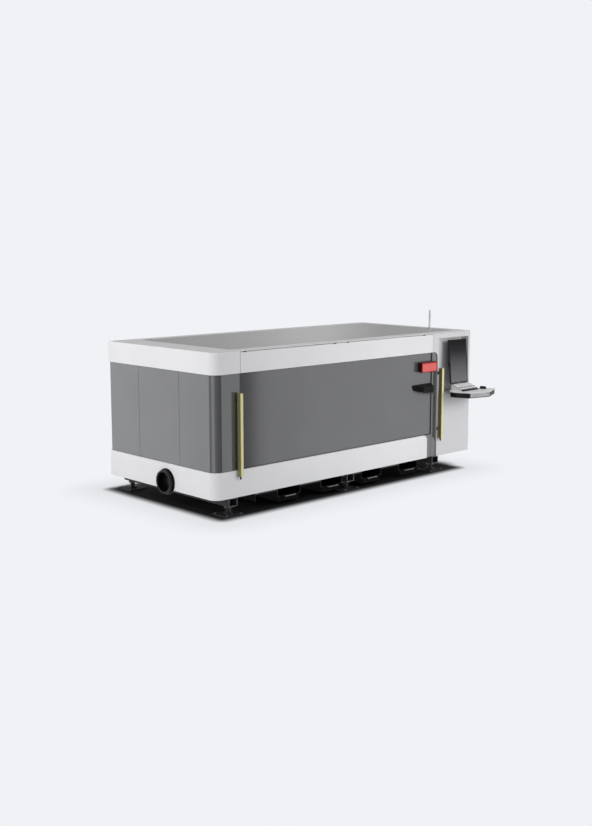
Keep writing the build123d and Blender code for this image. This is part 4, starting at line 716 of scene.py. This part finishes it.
def make_floor():
    """Pale floor that glows for the camera, with a painted shadow over the object's footprint, a faint
    painted shade around it, and painted shade where ambient occlusion finds it closed off.
    """
    mesh = bpy.data.meshes.new("floor")
    corners = [(x * FLOOR_HALF, y * FLOOR_HALF, 0) for x, y in ((-1, -1), (1, -1), (1, 1), (-1, 1))]
    mesh.from_pydata(corners, [], [(0, 1, 2, 3)])
    obj = bpy.data.objects.new("floor", mesh)
    scene.collection.objects.link(obj)
    obj.visible_glossy = False
    m = Mat("pale_floor", FLOOR_PAINT, 0.7, 0.0, 0.15)
    shade = m.node("ShaderNodeAmbientOcclusion")
    shade.samples = 16
    shade.inputs["Distance"].default_value = 0.45

    def spread(value, start, end):
        """0 to 1 between two values, eased."""
        n = m.node("ShaderNodeMapRange")
        n.interpolation_type = "SMOOTHSTEP"
        n.inputs["From Min"].default_value = start
        n.inputs["From Max"].default_value = end
        m.link(value, n.inputs["Value"])
        return n.outputs["Result"]

    base_lo, base_hi = (Vector(c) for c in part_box("top_frame"))
    right_cut, margin = 0.28, Vector((-0.075, 0.03, 0.0))
    base_hi.x -= right_cut
    half = (base_hi - base_lo) / 2 + margin
    # Distance outside the footprint
    reach = m.coord.outputs["Object"]
    for operation, value in (
        ("SUBTRACT", (base_lo + base_hi) / 2), ("ABSOLUTE", None), ("SUBTRACT", half),
        ("MAXIMUM", Vector((0, 0, 0))), ("LENGTH", None),
    ):
        step = m.node("ShaderNodeVectorMath")
        step.operation = operation
        m.link(reach, step.inputs[0])
        if value is not None:
            step.inputs[1].default_value = (value[0], value[1], 0.0)
        reach = step.outputs["Value" if operation == "LENGTH" else "Vector"]
    # Painted shadow: black over the footprint with a soft edge, times painted shade from ambient occlusion.
    light = m.math("MULTIPLY", spread(reach, -0.02, 0.20), spread(shade.outputs["AO"], 0.15, 0.55))
    tone = m.tinted(m.noise(0.8, 2.0), FLOOR_PAINT, 0.985, 1.01)
    m.paint(m.mix(light, SHADOW, tone))
    path = m.node("ShaderNodeLightPath")
    seen = m.math("MAXIMUM", path.outputs["Is Camera Ray"], path.outputs["Is Transmission Ray"])
    fade = m.math("MULTIPLY", spread(reach, 0.0, 0.2), seen)
    pale = m.mix(spread(reach, -0.1, 0.9), FLOOR_PENUMBRA_SHADE, BACKDROP)
    glow = m.node("ShaderNodeEmission")
    m.link(m.mix(light, SHADOW, pale), glow.inputs["Color"])
    glow.inputs["Strength"].default_value = 1.0
    mix = m.node("ShaderNodeMixShader")
    m.link(fade, mix.inputs["Fac"])
    m.link(m.b.outputs["BSDF"], mix.inputs[1])
    m.link(glow.outputs["Emission"], mix.inputs[2])
    m.link(mix.outputs["Shader"], m.nt.nodes["Material Output"].inputs["Surface"])
    mesh.materials.append(m.mat)


make_floor()

# Studio walls as the glossy paint mirrors them: (compass degrees, brightness)
WALLS = (
    (-180, 0.54), (-165, 0.66), (-136, 0.18), (-92, 0.09), (-62, 0.05), (-56, 0.16), (-51, 0.48),
    (-43, 0.62), (-25, 0.76), (0, 0.80), (42, 0.40), (45.5, 0.64), (50, 0.44), (56, 0.40), (90, 0.82),
    (124, 0.92), (139, 0.38), (148, 0.12), (180, 0.54),
)
WALL_GAIN = 1.1
AMBIENT, AMBIENT_TINT = 0.43, (0.992, 0.994, 1.0, 1.0)


def make_world():
    """Backdrop for the camera and glass, walls for glossy rays, even light for the rest."""
    world = bpy.data.worlds.new("studio")
    scene.world = world
    world.use_nodes = True
    world.cycles.sampling_method = "NONE"
    nt = world.node_tree
    for n in list(nt.nodes):
        nt.nodes.remove(n)
    new = nt.nodes.new

    def background(color, strength):
        n = new("ShaderNodeBackground")
        n.inputs["Strength"].default_value = strength
        if isinstance(color, tuple):
            n.inputs["Color"].default_value = color
        else:
            nt.links.new(color, n.inputs["Color"])
        return n.outputs["Background"]

    coord = new("ShaderNodeTexCoord")
    split = new("ShaderNodeSeparateXYZ")
    nt.links.new(coord.outputs["Generated"], split.inputs["Vector"])
    compass = new("ShaderNodeMath")
    compass.operation = "ARCTAN2"
    nt.links.new(split.outputs["Y"], compass.inputs[0])
    nt.links.new(split.outputs["X"], compass.inputs[1])
    turn = new("ShaderNodeMapRange")
    turn.inputs["From Min"].default_value = -math.pi
    turn.inputs["From Max"].default_value = math.pi
    nt.links.new(compass.outputs["Value"], turn.inputs["Value"])
    ramp = new("ShaderNodeValToRGB")
    stops = ramp.color_ramp.elements
    while len(stops) < len(WALLS):
        stops.new(0.5)
    for stop, (angle, level) in zip(stops, WALLS):
        stop.position = (angle + 180.0) / 360.0
        tone = level / WALL_GAIN
        stop.color = (tone, tone, tone * 1.005, 1.0)
    nt.links.new(turn.outputs["Result"], ramp.inputs["Fac"])

    path = new("ShaderNodeLightPath")
    gloss = new("ShaderNodeMixShader")
    nt.links.new(path.outputs["Is Glossy Ray"], gloss.inputs["Fac"])
    nt.links.new(background(AMBIENT_TINT, AMBIENT), gloss.inputs[1])
    nt.links.new(background(ramp.outputs["Color"], WALL_GAIN), gloss.inputs[2])
    seen = new("ShaderNodeMath")
    seen.operation = "MAXIMUM"
    nt.links.new(path.outputs["Is Camera Ray"], seen.inputs[0])
    nt.links.new(path.outputs["Is Transmission Ray"], seen.inputs[1])
    final = new("ShaderNodeMixShader")
    nt.links.new(seen.outputs["Value"], final.inputs["Fac"])
    nt.links.new(gloss.outputs["Shader"], final.inputs[1])
    nt.links.new(background(BACKDROP, 1.0), final.inputs[2])
    out = new("ShaderNodeOutputWorld")
    nt.links.new(final.outputs["Shader"], out.inputs["Surface"])


make_world()


# Lamps: name, location, target, width, height, watts, spread in degrees
LAMPS = (
    ("left_key", (-9.5, 1.0, 3.4), (0.0, 0.2, 0.7), 6.0, 5.0, 310.0, 180.0),
    ("front_fill", (3.5, -9.3, 3.3), (1.3, 0.0, 0.9), 6.0, 4.5, 72.0, 60.0),
    ("camera_fill", (-5.0, -10.0, 3.6), (0.5, 0.0, 0.9), 6.0, 4.5, 15.0, 180.0),
    ("top_soft", (0.0, 0.5, 8.5), (0.0, 0.2, 0.0), 8.0, 6.0, 36.0, 180.0),
)
for name, location, target, width, height, watts, spread in LAMPS:
    data = bpy.data.lights.new(name, "AREA")
    data.shape = "RECTANGLE"
    data.size, data.size_y = width, height
    data.energy = watts
    data.spread = math.radians(spread)
    lamp = bpy.data.objects.new(name, data)
    lamp.location = location
    lamp.rotation_euler = (Vector(target) - Vector(location)).to_track_quat("-Z", "Y").to_euler()
    lamp.visible_glossy = False
    scene.collection.objects.link(lamp)
